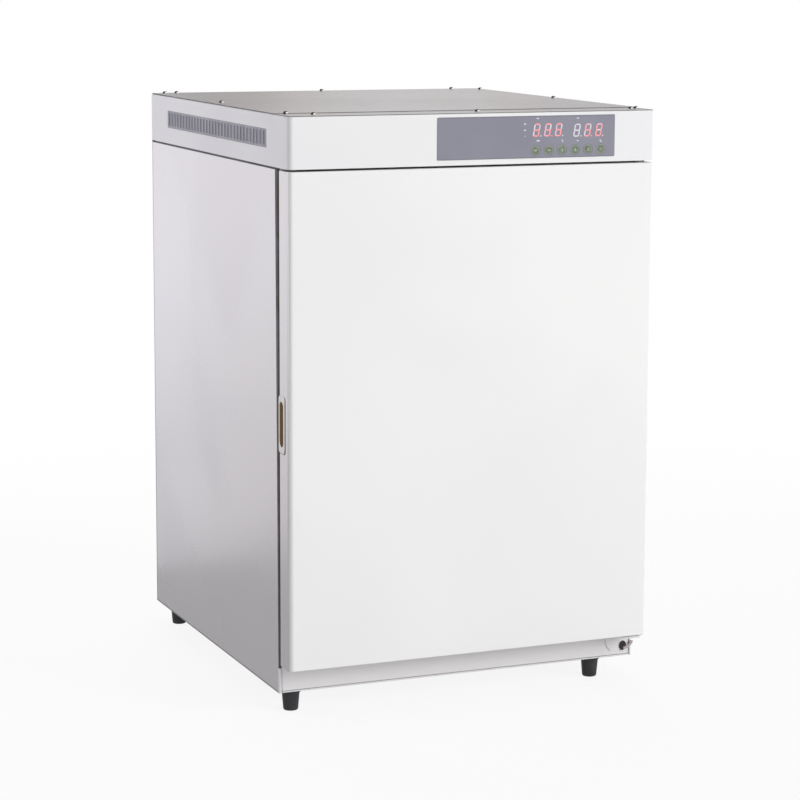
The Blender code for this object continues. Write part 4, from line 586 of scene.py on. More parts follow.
class Bench:
    """The modelling bench: primitives, edit-mode operators and modifiers, one object at a time."""

    @staticmethod
    def hold(obj: bpy.types.Object) -> None:
        """Selects one object only and makes it active."""
        bpy.ops.object.select_all(action="DESELECT")
        obj.select_set(True)
        bpy.context.view_layer.objects.active = obj

    @staticmethod
    def settle(name: str) -> bpy.types.Object:
        """Names the new active object and puts its place into its mesh.

        Args:
            name: the piece's name.

        Returns:
            The object, at the origin.
        """
        obj = bpy.context.active_object
        obj.name = obj.data.name = name
        bpy.ops.object.transform_apply(location=True, rotation=True, scale=True)
        return obj

    @classmethod
    def box(cls, name: str, low: Sequence[float], high: Sequence[float]) -> bpy.types.Object:
        """Adds a box between two corners.

        Args:
            name: the piece's name.
            low: the lowest corner.
            high: the highest corner.

        Returns:
            The box.
        """
        bpy.ops.object.select_all(action="DESELECT")
        first, last = Vector(low), Vector(high)
        bpy.ops.mesh.primitive_cube_add(size=1.0, location=(first + last) / 2, scale=last - first)
        return cls.settle(name)

    @classmethod
    def cylinder(
        cls, name: str, start: Sequence[float], axis: Axis, radius: float, length: float, sides: int = 40
    ) -> bpy.types.Object:
        """Adds a cylinder that runs from a point along an axis.

        Args:
            name: the piece's name.
            start: the centre of its first end.
            axis: the way it runs.
            radius: its radius.
            length: its length.
            sides: how many sides it has.

        Returns:
            The cylinder.
        """
        bpy.ops.object.select_all(action="DESELECT")
        quarter = math.pi / 2
        turn = {Axis.X: (0.0, quarter, 0.0), Axis.Y: (-quarter, 0.0, 0.0), Axis.Z: (0.0, 0.0, 0.0)}[axis]
        bpy.ops.mesh.primitive_cylinder_add(
            vertices=sides,
            radius=radius,
            depth=length,
            location=Vector(start) + axis.way * length / 2,
            rotation=turn,
        )
        return cls.settle(name)

    @classmethod
    def turned(
        cls, name: str, profile: Iterable[Pair], place: Sequence[float], axis: Axis, sides: int = 48
    ) -> bpy.types.Object:
        """Spins a profile about an axis.

        Args:
            name: the piece's name.
            profile: pairs of radius and distance along the axis, from one end to the other.
            place: the point that the distances count from.
            axis: the axis of the spin.
            sides: how many steps the spin has.

        Returns:
            The turned piece, closed and facing outwards.
        """
        across = Axis.X.way if axis is not Axis.X else Axis.Y.way
        origin = Vector(place)
        points = [origin + across * radius + axis.way * reach for radius, reach in profile]
        mesh = bpy.data.meshes.new(name)
        mesh.from_pydata(points, [(n, n + 1) for n in range(len(points) - 1)], [])
        obj = bpy.data.objects.new(name, mesh)
        bpy.context.scene.collection.objects.link(obj)
        cls.hold(obj)
        bpy.ops.object.mode_set(mode="EDIT")
        bpy.ops.mesh.select_all(action="SELECT")
        bpy.ops.mesh.spin(steps=sides, angle=2 * math.pi, center=origin, axis=axis.way)
        bpy.ops.mesh.select_all(action="SELECT")
        bpy.ops.mesh.remove_doubles(threshold=0.000002)
        bpy.ops.mesh.normals_make_consistent(inside=False)
        bpy.ops.object.mode_set(mode="OBJECT")
        return obj

    @classmethod
    def strip(
        cls, name: str, path: Sequence[Pair], width: float, face: float, depth: float
    ) -> bpy.types.Object:
        """Bends a flat bar along a path in a plane that looks along Y.

        Args:
            name: the piece's name.
            path: the points of its middle line, as x and z.
            width: how wide it is.
            face: where its front lies on Y.
            depth: how thick it is.

        Returns:
            The bar, with an even wall and broken edges.
        """
        points = []
        for number, here in enumerate(path):
            before, after = path[max(number - 1, 0)], path[min(number + 1, len(path) - 1)]
            way = Vector((after[0] - before[0], after[1] - before[1])).normalized() * width / 2
            points += [(here[0] - way.y, face, here[1] + way.x), (here[0] + way.y, face, here[1] - way.x)]
        mesh = bpy.data.meshes.new(name)
        mesh.from_pydata(points, [], [(2 * n, 2 * n + 1, 2 * n + 3, 2 * n + 2) for n in range(len(path) - 1)])
        obj = bpy.data.objects.new(name, mesh)
        bpy.context.scene.collection.objects.link(obj)
        cls.hold(obj)
        bpy.ops.object.mode_set(mode="EDIT")
        bpy.ops.mesh.select_all(action="SELECT")
        bpy.ops.mesh.extrude_region_move(TRANSFORM_OT_translate={"value": (0.0, depth, 0.0)})
        bpy.ops.mesh.select_all(action="SELECT")
        bpy.ops.mesh.normals_make_consistent(inside=False)
        bpy.ops.object.mode_set(mode="OBJECT")
        return cls.soften(obj, min(width, depth) * 0.2, 2, 40.0)

    @classmethod
    def pick_edges(cls, obj: bpy.types.Object, test: Callable[[Vector, Vector], bool]) -> int:
        """Goes into edit mode and selects the edges whose ends pass the test.

        Args:
            obj: the piece.
            test: takes the edge's two ends.

        Returns:
            How many edges were selected.
        """
        cls.hold(obj)
        bpy.ops.object.mode_set(mode="EDIT")
        bpy.ops.mesh.select_mode(type="EDGE")
        bpy.ops.mesh.select_all(action="DESELECT")
        shape = bmesh.from_edit_mesh(obj.data)
        picked = 0
        for edge in shape.edges:
            if test(edge.verts[0].co, edge.verts[1].co):
                edge.select_set(True)
                picked += 1
        bmesh.update_edit_mesh(obj.data)
        return picked

    @classmethod
    def pick_faces(cls, obj: bpy.types.Object, test: Callable[[Vector, Vector], bool]) -> int:
        """Goes into edit mode and selects the faces whose centre and normal pass the test.

        Args:
            obj: the piece.
            test: takes the face's centre and normal.

        Returns:
            How many faces were selected.
        """
        cls.hold(obj)
        bpy.ops.object.mode_set(mode="EDIT")
        bpy.ops.mesh.select_mode(type="FACE")
        bpy.ops.mesh.select_all(action="DESELECT")
        shape = bmesh.from_edit_mesh(obj.data)
        picked = 0
        for face in shape.faces:
            if test(face.calc_center_median(), face.normal):
                face.select_set(True)
                picked += 1
        bmesh.update_edit_mesh(obj.data)
        return picked

    @classmethod
    def round_off(
        cls, obj: bpy.types.Object, test: Callable[[Vector, Vector], bool], width: float, segments: int = 6
    ) -> None:
        """Bevels the edges that pass the test.

        Args:
            obj: the piece.
            test: takes an edge's two ends.
            width: the bevel's width.
            segments: how many faces it is made of.
        """
        if cls.pick_edges(obj, test):
            bpy.ops.mesh.bevel(
                offset_type="OFFSET", offset=width, segments=segments, profile=0.5, affect="EDGES",
                clamp_overlap=True
            )
        bpy.ops.object.mode_set(mode="OBJECT")

    @classmethod
    def open_faces(cls, obj: bpy.types.Object, test: Callable[[Vector, Vector], bool]) -> None:
        """Deletes the faces that pass the test.

        Args:
            obj: the piece.
            test: takes a face's centre and normal.
        """
        if cls.pick_faces(obj, test):
            bpy.ops.mesh.delete(type="FACE")
        bpy.ops.object.mode_set(mode="OBJECT")

    @classmethod
    def bisect(cls, obj: bpy.types.Object, axis: Axis, value: float, lean: float = 0.0) -> None:
        """Cuts new edges into a piece where a plane meets it.

        Args:
            obj: the piece.
            axis: the axis that the plane is across.
            value: the plane's place on it, at Z 0.
            lean: how much that place grows with Z.
        """
        cls.hold(obj)
        bpy.ops.object.mode_set(mode="EDIT")
        bpy.ops.mesh.select_all(action="SELECT")
        bpy.ops.mesh.bisect(plane_co=axis.way * value, plane_no=(axis.way - Axis.Z.way * lean).normalized())
        bpy.ops.object.mode_set(mode="OBJECT")

    @classmethod
    def change(cls, obj: bpy.types.Object, kind: str, **values: object) -> bpy.types.Object:
        """Adds a modifier and applies it.

        Args:
            obj: the piece.
            kind: the modifier's type.
            values: its settings.

        Returns:
            The piece.
        """
        cls.hold(obj)
        modifier = obj.modifiers.new(kind.lower(), kind)
        for name, value in values.items():
            setattr(modifier, name, value)
        bpy.ops.object.modifier_apply(modifier=modifier.name)
        return obj

    @classmethod
    def wall(cls, obj: bpy.types.Object, thickness: float) -> bpy.types.Object:
        """Gives an open shell a wall that grows inwards.

        Args:
            obj: the shell, its faces pointing outwards.
            thickness: the wall.

        Returns:
            The piece.
        """
        return cls.change(obj, "SOLIDIFY", thickness=thickness, offset=-1.0, use_even_offset=True)

    @classmethod
    def subtract(cls, obj: bpy.types.Object, *cutters: bpy.types.Object) -> bpy.types.Object:
        """Cuts other pieces out of one and removes them.

        Args:
            obj: the piece that is cut.
            cutters: what is cut out of it.

        Returns:
            The piece.
        """
        for cutter in cutters:
            cls.change(obj, "BOOLEAN", operation="DIFFERENCE", solver="EXACT", object=cutter)
            bpy.data.objects.remove(cutter, do_unlink=True)
        return obj

    @classmethod
    def merge(cls, obj: bpy.types.Object, *others: bpy.types.Object) -> bpy.types.Object:
        """Joins separate meshes into one object.

        Args:
            obj: the object that stays.
            others: those that are joined to it.

        Returns:
            The joined object.
        """
        bpy.ops.object.select_all(action="DESELECT")
        for piece in (*others, obj):
            piece.select_set(True)
        bpy.context.view_layer.objects.active = obj
        bpy.ops.object.join()
        return obj

    @classmethod
    def soften(
        cls, obj: bpy.types.Object, width: float, segments: int = 2, angle: float = 35.0
    ) -> bpy.types.Object:
        """Breaks every sharp edge of a piece.

        Args:
            obj: the piece.
            width: the bevel's width.
            segments: its faces.
            angle: edges sharper than this are bevelled.

        Returns:
            The piece.
        """
        return cls.change(
            obj,
            "BEVEL",
            width=width,
            segments=segments,
            limit_method="ANGLE",
            angle_limit=math.radians(angle),
            use_clamp_overlap=True,
        )

    @classmethod
    def copy(cls, obj: bpy.types.Object, name: str, shift: Sequence[float]) -> bpy.types.Object:
        """Copies a piece, mesh and all, to another place.

        Args:
            obj: the piece.
            name: the copy's name.
            shift: how far it is moved.

        Returns:
            The copy, at the origin.
        """
        mesh = obj.data.copy()
        mesh.transform(Matrix.Translation(Vector(shift)))
        twin = bpy.data.objects.new(name, mesh)
        bpy.context.scene.collection.objects.link(twin)
        return twin

    @classmethod
    def carry(cls, node: str, name: str) -> bpy.types.Object:
        """Copies a CAD node's mesh, with its loose triangles merged into clean faces.

        Args:
            node: the CAD node.
            name: the new piece's name.

        Returns:
            The piece.
        """
        obj = bpy.data.objects.new(name, frame["nodes"][node].data.copy())
        obj.data.name = name
        obj.data.materials.clear()
        bpy.context.scene.collection.objects.link(obj)
        cls.hold(obj)
        bpy.ops.mesh.customdata_custom_splitnormals_clear()
        bpy.ops.object.mode_set(mode="EDIT")
        bpy.ops.mesh.select_all(action="SELECT")
        bpy.ops.mesh.remove_doubles(threshold=0.000002)
        bpy.ops.mesh.dissolve_limited(angle_limit=math.radians(0.6))
        bpy.ops.object.mode_set(mode="OBJECT")
        return obj

    @staticmethod
    def paint(
        obj: bpy.types.Object, finishes: Sequence[AnyFinish], choose: Callable[[bpy.types.MeshPolygon], int]
    ) -> None:
        """Gives a piece several finishes, and each of its faces one of them.

        Args:
            obj: the piece.
            finishes: the finishes.
            choose: the number of a face's finish.
        """
        for finish in finishes:
            obj.data.materials.append(finish.material())
        for face in obj.data.polygons:
            face.material_index = int(choose(face))

    @classmethod
    def finish(
        cls, obj: bpy.types.Object, body: str, finish: AnyFinish, *nodes: str, angle: float = 38.0,
        even: bool = True
    ) -> bpy.types.Object:
        """Smooths a piece, dresses it and lets it ride.

        Args:
            obj: the piece.
            body: the CAD body that carries it.
            finish: its finish.
            nodes: the CAD nodes that it stands for.
            angle: edges sharper than this stay sharp.
            even: whether the normals follow the larger faces.

        Returns:
            The piece.
        """
        cls.hold(obj)
        if not obj.data.materials:
            obj.data.materials.append(finish.material())
        bpy.ops.object.shade_smooth_by_angle(angle=math.radians(angle))
        if even:
            cls.change(obj, "WEIGHTED_NORMAL", mode="FACE_AREA", weight=50, keep_sharp=True)
        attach(obj, body)
        if nodes:
            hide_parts(*nodes)
        log.info(
            "piece %s: %d faces, rides on %s, stands for %s", obj.name, len(obj.data.polygons), body, nodes
        )
        return obj


def along(axis: Axis) -> Test:
    """A test for edges that run along an axis.

    Args:
        axis: the axis.

    Returns:
        The test.
    """
    others = [number for number in range(3) if number != axis.value]
    return lambda a, b: all(abs(a[n] - b[n]) < TINY for n in others)


def lying(axis: Axis, value: float) -> Test:
    """A test for edges that lie in a plane across an axis.

    Args:
        axis: the axis.
        value: the plane's place on it.

    Returns:
        The test.
    """
    return lambda a, b: abs(a[axis.value] - value) < TINY and abs(b[axis.value] - value) < TINY


def facing(axis: Axis, way: int) -> Test:
    """A test for faces that look along an axis.

    Args:
        axis: the axis.
        way: 1 or -1.

    Returns:
        The test.
    """
    return lambda centre, normal: normal[axis.value] * way > 0.95


def both(first: Test, second: Test) -> Test:
    """A test for edges that pass two tests."""
    return lambda a, b: first(a, b) and second(a, b)


@dataclass
class OuterDoor:
    """The outer door: painted skin, moulded liner, gasket, chrome pull and its two bushes."""

    half_width: float = 0.275
    front: float = -0.3196
    back: float = -0.2866
    back_left: float = -0.2838
    low: float = 0.071
    top: float = 0.7605
    edges: Pair = (0.0072, 0.0028)
    fold: float = 0.0016
    sheet: float = 0.0015
    lip: float = 0.0106
    lip_corner: float = 0.002
    hinge: Pair = (0.260, -0.3031)
    socket: float = 0.0068
    pull_low: Point = (-0.275, -0.3018, 0.373)
    pull_high: Point = (-0.261, -0.2781, 0.453)
    shadow_plate_front: float = -0.3066
    slot_y: float = -0.2890
    slot_half: Pair = (0.0074, 0.0315)
    slot_floor: float = -0.264
    body: str = "outer_door"

    def build(self) -> None:
        """Models and dresses the whole door."""
        self.skin()
        self.pull()
        self.inside()

    def skin(self) -> bpy.types.Object:
        """The folded outer skin with its return lip, the pull's pocket and the bushes' holes.

        Returns:
            The skin.
        """
        shell = Bench.box(
            "door_skin_folded",
            (-self.half_width, self.front, self.low),
            (self.half_width, self.back, self.top),
        )
        for vertex in shell.data.vertices:
            if vertex.co.x < 0.0 and vertex.co.y > self.front + TINY:
                vertex.co.y = self.back_left
        middle = (self.front + self.back) / 2
        for x, radius in zip((-self.half_width, self.half_width), self.edges):
            Bench.round_off(shell, both(lying(Axis.X, x), lying(Axis.Y, self.front)), radius, 10)
        for z in (self.low, self.top):
            Bench.round_off(shell, both(lying(Axis.Z, z), lambda a, b: min(a.y, b.y) < middle), self.fold, 3)
        Bench.wall(shell, self.sheet)
        opening = Bench.box(
            "opening",
            (self.lip - self.half_width, self.back - 0.004, self.low + self.lip),
            (self.half_width - self.lip, self.back + 0.010, self.top - self.lip),
        )
        Bench.round_off(opening, along(Axis.Y), self.lip_corner, 4)
        rim = self.shadow_plate_front - GAP
        pocket = Bench.box(
            "pocket",
            (-self.half_width - 0.004, rim, self.pull_low[2] - GAP),
            (self.pull_high[0] + GAP, self.back + 0.02, self.pull_high[2] + GAP),
        )
        Bench.round_off(pocket, both(along(Axis.X), lying(Axis.Y, rim)), 0.0063, 6)
        sockets = [
            Bench.cylinder("socket", (*self.hinge, z), Axis.Z, self.socket, 0.028)
            for z in (self.low - 0.01, self.top - 0.018)
        ]
        Bench.subtract(shell, opening, pocket, *sockets)
        # Painted shade: the skin's left side takes the darker satin case finish, while the front and the
        # right side keep the front enamel.
        Bench.paint(
            shell,
            (Palette.FRONT_ENAMEL, Palette.CASE_ENAMEL),
            lambda face: face.normal.x < -0.6 and face.center.x < self.sheet - self.half_width,
        )
        return Bench.finish(shell, self.body, Palette.FRONT_ENAMEL, "door_skin")

    def pull(self) -> bpy.types.Object:
        """The chrome recessed pull, its slot painted brown as painted shade and reflection of the dark
        cavity, with a dark plate of painted shadow around it.

        Returns:
            The pull.
        """
        pull = Bench.box("door_pull_chrome", self.pull_low, self.pull_high)
        Bench.round_off(pull, along(Axis.X), 0.006, 8)
        slot_z = (self.pull_low[2] + self.pull_high[2]) / 2
        slot = Bench.box(
            "slot",
            (-self.half_width - 0.005, self.slot_y - self.slot_half[0], slot_z - self.slot_half[1]),
            (self.slot_floor, self.slot_y + self.slot_half[0], slot_z + self.slot_half[1]),
        )
        Bench.round_off(slot, along(Axis.X), self.slot_half[0] * 0.98, 8)
        Bench.subtract(pull, slot)
        Bench.soften(pull, 0.0006, 3)
        # A dark plate in the pocket around the pull: painted shadow in the gap between pull and skin.
        shadow_plate = Bench.box(
            "door_pull_painted_shadow",
            (-self.half_width + 0.0012, self.shadow_plate_front, self.pull_low[2]),
            (self.pull_high[0], self.pull_low[1] + 0.004, self.pull_high[2]),
        )
        Bench.round_off(shadow_plate, both(along(Axis.X), lying(Axis.Y, self.shadow_plate_front)), 0.0055, 6)
        Bench.finish(shadow_plate, self.body, Palette.SHADOW_PAINT)
        # The slot's faces take the brown painted reflection.
        Bench.paint(
            pull,
            (Palette.CHROME, Palette.PULL_SLOT_PAINTED_REFLECTION),
            lambda face: abs(face.center.y - self.slot_y) < self.slot_half[0] + TINY
            and -self.half_width + 0.001 < face.center.x < self.slot_floor + TINY
            and abs(face.center.z - slot_z) < self.slot_half[1] + TINY,
        )
        return Bench.finish(pull, self.body, Palette.CHROME, "door_pull")

    def inside(self) -> None:
        """The moulded liner, foam, gasket and bushes, carried over from the CAD."""
        for node, finish, width in (
            ("door_liner", Palette.WHITE_PLASTIC, 0.0008),
            ("door_foam", Palette.FOAM, 0.0),
            ("door_gasket", Palette.GASKET_RUBBER_AND_GAP_SHADE, 0.0004),
            ("door_bush_lower", Palette.WHITE_PLASTIC, 0.0003),
            ("door_bush_upper", Palette.WHITE_PLASTIC, 0.0003),
        ):
            CarriedNode(node, finish, width).build()


@dataclass
class CarriedNode:
    """A CAD node whose shape is right: its mesh is cleaned, its edges are broken and it is dressed."""

    node: str
    finish: AnyFinish
    width: float = 0.0003
    angle: float = 38.0

    def build(self) -> bpy.types.Object:
        """Makes the piece that stands for the node.

        Returns:
            The piece.
        """
        piece = Bench.carry(self.node, self.node + "_finished")
        if self.width:
            Bench.soften(piece, self.width, 2, 40.0)
        return Bench.finish(
            piece, self.carrier(), self.finish, self.node, angle=self.angle
        )

    def carrier(self) -> str:
        """The name of the body that the node belongs to."""
        bodies = frame["record"]["behaviour"]["bodies"]
        return next(body for body, nodes in bodies.items() if self.node in nodes)


@dataclass
class ControlHead:
    """The head: cowl, top plate with its screws, and the vent grilles."""

    half_width: float = 0.275
    front: float = -0.3196
    back: float = 0.2986
    low: float = 0.7635
    cowl_top: float = 0.8343
    plate_low: float = 0.8344
    top: float = 0.836
    corners: Pair = (0.0075, 0.0028)
    sheet: float = 0.0015
    flange: float = 0.010
    vent_low: Pair = (-0.2326, 0.788)
    vent_high: Pair = (0.2174, 0.813)
    slots: int = 32
    slot_width: float = 0.0085
    border: float = 0.003
    panel_low: Pair = (-0.0535, 0.7735)
    panel_high: Pair = (0.2075, 0.8270)
    crease: float = -0.262
    fold: float = 0.0009
    body: str = "case"

    def build(self) -> None:
        """Models and dresses the whole head."""
        self.cowl()
        self.top_plate()
        self.screws()
        for side in (-1, 1):
            self.vent(side)

    def cowl(self) -> bpy.types.Object:
        """The three-sided cowl with its folded top flange and openings.

        Returns:
            The cowl.
        """
        shell = Bench.box(
            "head_cowl_folded",
            (-self.half_width, self.front, self.low),
            (self.half_width, self.back, self.cowl_top),
        )
        self.corners_off(shell, self.half_width, self.front)
        Bench.open_faces(shell, facing(Axis.Z, -1))
        Bench.open_faces(shell, facing(Axis.Y, 1))
        folded, rear = lying(Axis.Z, self.cowl_top), lying(Axis.Y, self.back)
        Bench.round_off(shell, lambda a, b: folded(a, b) and not rear(a, b), 0.0012, 3)
        Bench.wall(shell, self.sheet)
        inner = self.half_width - self.flange
        opening = Bench.box(
            "opening",
            (-inner, self.front + self.flange, self.cowl_top - 0.004),
            (inner, self.back + 0.010, self.cowl_top + 0.010),
        )
        reach = self.half_width + 0.01
        vents = Bench.box(
            "vents",
            (-reach, self.vent_low[0] - GAP, self.vent_low[1] - GAP),
            (reach, self.vent_high[0] + GAP, self.vent_high[1] + GAP),
        )
        panel = Bench.box(
            "panel",
            (self.panel_low[0], self.front - 0.01, self.panel_low[1]),
            (self.panel_high[0], self.front + 0.01, self.panel_high[1]),
        )
        Bench.subtract(shell, opening, vents, panel)
        return Bench.finish(shell, self.body, Palette.HEAD_ENAMEL, "head_cowl")

    def corners_off(self, obj: bpy.types.Object, reach: float, front: float) -> None:
        """Rounds the two upright front corners, the left one wider than the right one.

        Args:
            obj: the piece.
            reach: half its width.
            front: its front's place on Y.
        """
        for x, radius in zip((-reach, reach), self.corners):
            Bench.round_off(obj, both(lying(Axis.X, x), lying(Axis.Y, front)), radius, 8)

    def top_plate(self) -> bpy.types.Object:
        """The stainless top plate, a sheet thinner in front of its fold than behind it, its edges and fold
        step painted dark as painted shade.

        Returns:
            The plate.
        """
        inset = 0.0005
        plate = Bench.box(
            "top_plate_folded",
            (-self.half_width + inset, self.front + inset, self.plate_low),
            (self.half_width - inset, self.back - inset, self.top),
        )
        self.corners_off(plate, self.half_width - inset, self.front + inset)
        for shift in (0.0, 0.0004):
            Bench.bisect(plate, Axis.Y, self.crease + shift)
        for vertex in plate.data.vertices:
            if vertex.co.y < self.crease + TINY and vertex.co.z > self.top - TINY:
                vertex.co.z -= self.fold
        Bench.soften(plate, 0.0002, 2, 40.0)
        # Faces that do not look up, the edges and the fold step, are painted dark as painted shade.
        Bench.paint(plate, (Palette.TOP_STEEL, Palette.TOP_EDGE_PAINTED_SHADE), lambda face: face.normal.z < 0.6)
        return Bench.finish(plate, self.body, Palette.TOP_STEEL, "top_plate")

    def screws(self) -> None:
        """The twelve pan-head screws of the top plate, each with a painted highlight on the front-right flank
        of its head.
        """
        profile = [
            (0.0, -0.0005), (0.0034, -0.0005), (0.0034, 0.0009), (0.0031, 0.0017), (0.0025, 0.0024),
            (0.0015, 0.0028), (0.0, 0.0029),
        ]
        screw = Bench.turned("top_screw_01", profile, (0.0, 0.0, self.top), Axis.Z, 24)
        for turn in (0.4, 0.4 + math.pi / 2):
            slot = Bench.box("slot", (-0.0018, -0.0004, 0.0017), (0.0018, 0.0004, 0.006))
            slot.data.transform(Matrix.Translation((0.0, 0.0, self.top)) @ Matrix.Rotation(turn, 4, "Z"))
            Bench.subtract(screw, slot)
        # Painted highlight: the lower front-right faces of each head take the bright finish, and the rest
        # stays dark.
        Bench.paint(
            screw,
            (Palette.SCREW_STEEL, Palette.SCREW_PAINTED_GLINT),
            lambda face: 0.8 * face.center.x - 0.6 * face.center.y > 0.0009
            and face.center.z < self.top + 0.0017,
        )
        places = [
            *((-0.2575, y) for y in (-0.262, 0.012, 0.288)),
            *((0.2665, y) for y in (-0.279, -0.008, 0.266)),
            *((x, -0.284) for x in (-0.226, 0.0165, 0.2555)),
            *((x, 0.2895) for x in (-0.238, 0.002, 0.226)),
        ]
        for number, (x, y) in enumerate(places[1:], start=2):
            twin = Bench.copy(
                screw, f"top_screw_{number:02d}", (x, y, -self.fold if y < self.crease else 0.0)
            )
            Bench.finish(twin, self.body, Palette.SCREW_STEEL)
        screw.data.transform(Matrix.Translation((*places[0], 0.0)))
        Bench.finish(screw, self.body, Palette.SCREW_STEEL)

    def vent(self, side: int) -> None:
        """One grille of upright slots and the filter sheet behind it.

        Args:
            side: 1 on the right and -1 on the left.
        """
        name = "right" if side > 0 else "left"
        outer, inner = side * (self.half_width - 0.0003), side * (self.half_width - 0.0009)
        grille = Bench.box(
            "vent_grille_slotted_" + name,
            (min(outer, inner), *self.vent_low),
            (max(outer, inner), *self.vent_high),
        )
        pitch = (self.vent_high[0] - self.vent_low[0] - 2 * self.border) / self.slots
        first = self.vent_low[0] + self.border + (pitch - self.slot_width) / 2
        cutter = Bench.box(
            "slots",
            (min(outer, inner) - 0.001, first, self.vent_low[1] + self.border),
            (max(outer, inner) + 0.001, first + self.slot_width, self.vent_high[1] - self.border),
        )
        Bench.change(
            cutter,
            "ARRAY",
            count=self.slots,
            use_relative_offset=False,
            use_constant_offset=True,
            constant_offset_displace=(0.0, pitch, 0.0),
        )
        Bench.subtract(grille, cutter)
        Bench.soften(grille, 0.00015, 2)
        Bench.finish(grille, self.body, Palette.VENT_PLASTIC, "vent_grille_" + name)
        near, far = side * (self.half_width - 0.0010), side * (self.half_width - 0.0014)
        weave = Bench.box(
            "vent_filter_" + name,
            (min(near, far), *self.vent_low),
            (max(near, far), *self.vent_high),
        )
        Bench.round_off(weave, along(Axis.X), 0.002, 3)
        Bench.finish(weave, self.body, Palette.FILTER_WEAVE)


class Lamp(Enum):
    """How bright a segment of a digit looks."""

    LIT = "lit"
    WARM = "warm"
    DARK = "dark"


@dataclass
class ControlPanel:
    """The printed panel film with its digits, marks and keys, and the board behind it."""

    low: Pair = (-0.0585, 0.7710)
    high: Pair = (0.2125, 0.8295)
    face: float = -0.3204
    film_back: float = -0.3199
    digit_size: Pair = (0.0095, 0.0181)
    stroke: float = 0.0019
    slant: float = 0.17
    digits: tuple[tuple[float, float, str, str], ...] = (
        (0.0912, 0.8097, "agcd", "b"), (0.1082, 0.8097, "agcdp", "fe"), (0.1249, 0.8097, "agcd", "fe"),
        (0.1534, 0.8084, "", ""), (0.1701, 0.8084, "fgcdp", "a"), (0.1874, 0.8084, "fbecd", "a"),
    )
    key_z: float = 0.7815
    key_radius: float = 0.0068
    keys: tuple[tuple[str, float, str], ...] = (
        ("menu", 0.0900, "bar"), ("enter", 0.1102, "left"), ("shift", 0.1304, "post"),
        ("down", 0.1506, "post"), ("up", 0.1708, "up"), ("alarm", 0.1910, "bow"),
    )
    body: str = "case"

    def build(self) -> None:
        """Models and dresses the panel."""
        self.film()
        self.display()
        self.marks()
        for name, x, sign in self.keys:
            self.key(name, x, sign)
        CarriedNode("display_board", Palette.BOARD, 0.0).build()

    def film(self) -> bpy.types.Object:
        """The printed film with a hole for each key.

        Returns:
            The film.
        """
        film = Bench.box(
            "panel_film_printed",
            (self.low[0], self.face, self.low[1]),
            (self.high[0], self.film_back, self.high[1]),
        )
        Bench.round_off(film, along(Axis.Y), 0.0015, 4)
        holes = [
            Bench.cylinder(
                "hole", (x, self.face - 0.002, self.key_z), Axis.Y, self.key_radius + 0.0004, 0.006, 36
            )
            for _, x, _ in self.keys
        ]
        Bench.subtract(film, *holes)
        return Bench.finish(film, self.body, Palette.PANEL_FILM, "control_panel")

    def bar(self, centre: Pair, size: Pair, proud: float = 0.0001) -> bpy.types.Object:
        """A thin printed bar whose shorter ends are pointed.

        Args:
            centre: its middle, as x and z.
            size: its width and height.
            proud: how far it stands before the film.

        Returns:
            The bar.
        """
        half = (size[0] / 2, size[1] / 2)
        piece = Bench.box(
            "bar",
            (centre[0] - half[0], self.face - proud, centre[1] - half[1]),
            (centre[0] + half[0], self.face + 0.0002, centre[1] + half[1]),
        )
        Bench.round_off(piece, along(Axis.Y), min(half) * 0.96, 1)
        return piece

    def display(self) -> None:
        """The two groups of three slanted digits, each of seven segments and a point."""
        width, height = self.digit_size
        across, up = width / 2 - self.stroke / 2, height / 2 - self.stroke / 2
        long_x = (width - self.stroke * 1.15, self.stroke)
        long_z = (self.stroke, height / 2 - self.stroke * 0.65)
        layout = {
            "a": ((0.0, up), long_x), "d": ((0.0, -up), long_x), "g": ((0.0, 0.0), long_x),
            "f": ((-across, up / 2), long_z), "b": ((across, up / 2), long_z),
            "e": ((-across, -up / 2), long_z), "c": ((across, -up / 2), long_z),
            "p": ((width / 2 + 0.0028, -up), (0.0024, 0.0024)),
        }
        lean = Matrix.Identity(4)
        lean[0][2] = self.slant
        groups: dict[Lamp, list[bpy.types.Object]] = {lamp: [] for lamp in Lamp}
        for x, z, lit, warm in self.digits:
            move = Matrix.Translation((x, 0.0, z)) @ lean
            for segment, (centre, size) in layout.items():
                piece = self.bar(centre, size)
                piece.data.transform(move)
                lamp = Lamp.LIT if segment in lit else Lamp.WARM if segment in warm else Lamp.DARK
                groups[lamp].append(piece)
        finishes = {
            Lamp.LIT: Palette.LIT_SEGMENT,
            Lamp.WARM: Palette.WARM_SEGMENT,
            Lamp.DARK: Palette.UNLIT_SEGMENT_PAINTED_GLOW,
        }
        for lamp, pieces in groups.items():
            joined = Bench.merge(pieces[0], *pieces[1:])
            joined.name = joined.data.name = f"display_segments_{lamp.value}"
            Bench.finish(joined, self.body, finishes[lamp], even=False)

    def marks(self) -> None:
        """The small printed marks: lamps left of the digits, and bars where units and names stand."""
        places = (
            (0.0732, 0.8184, 0.0040, 0.0021), (0.0732, 0.8099, 0.0038, 0.0021),
            (0.0733, 0.8016, 0.0018, 0.0015), (0.0926, 0.8259, 0.0044, 0.0017),
            (0.1546, 0.8253, 0.0042, 0.0015), (0.0937, 0.7949, 0.0058, 0.0020),
            (0.1300, 0.7956, 0.0015, 0.0015), (0.1312, 0.7940, 0.0015, 0.0034),
            (0.1548, 0.7938, 0.0036, 0.0018), (0.1896, 0.7938, 0.0016, 0.0030),
            (0.1912, 0.7921, 0.0018, 0.0028),
        )
        pieces = [self.bar((x, z), (width, height)) for x, z, width, height in places]
        joined = Bench.merge(pieces[0], *pieces[1:])
        joined.name = joined.data.name = "panel_marks"
        Bench.finish(joined, self.body, Palette.PRINT_WHITE, even=False)
        middle, length = (self.low[0] + self.high[0]) / 2, self.high[0] - self.low[0] - 0.003
        lines = [
            self.bar((middle, z), (length, 0.0006)) for z in (self.low[1] + 0.0006, self.high[1] - 0.0006)
        ]
        edge = Bench.merge(*lines)
        edge.name = edge.data.name = "panel_edge_lines"
        Bench.finish(edge, self.body, Palette.PANEL_EDGE, even=False)

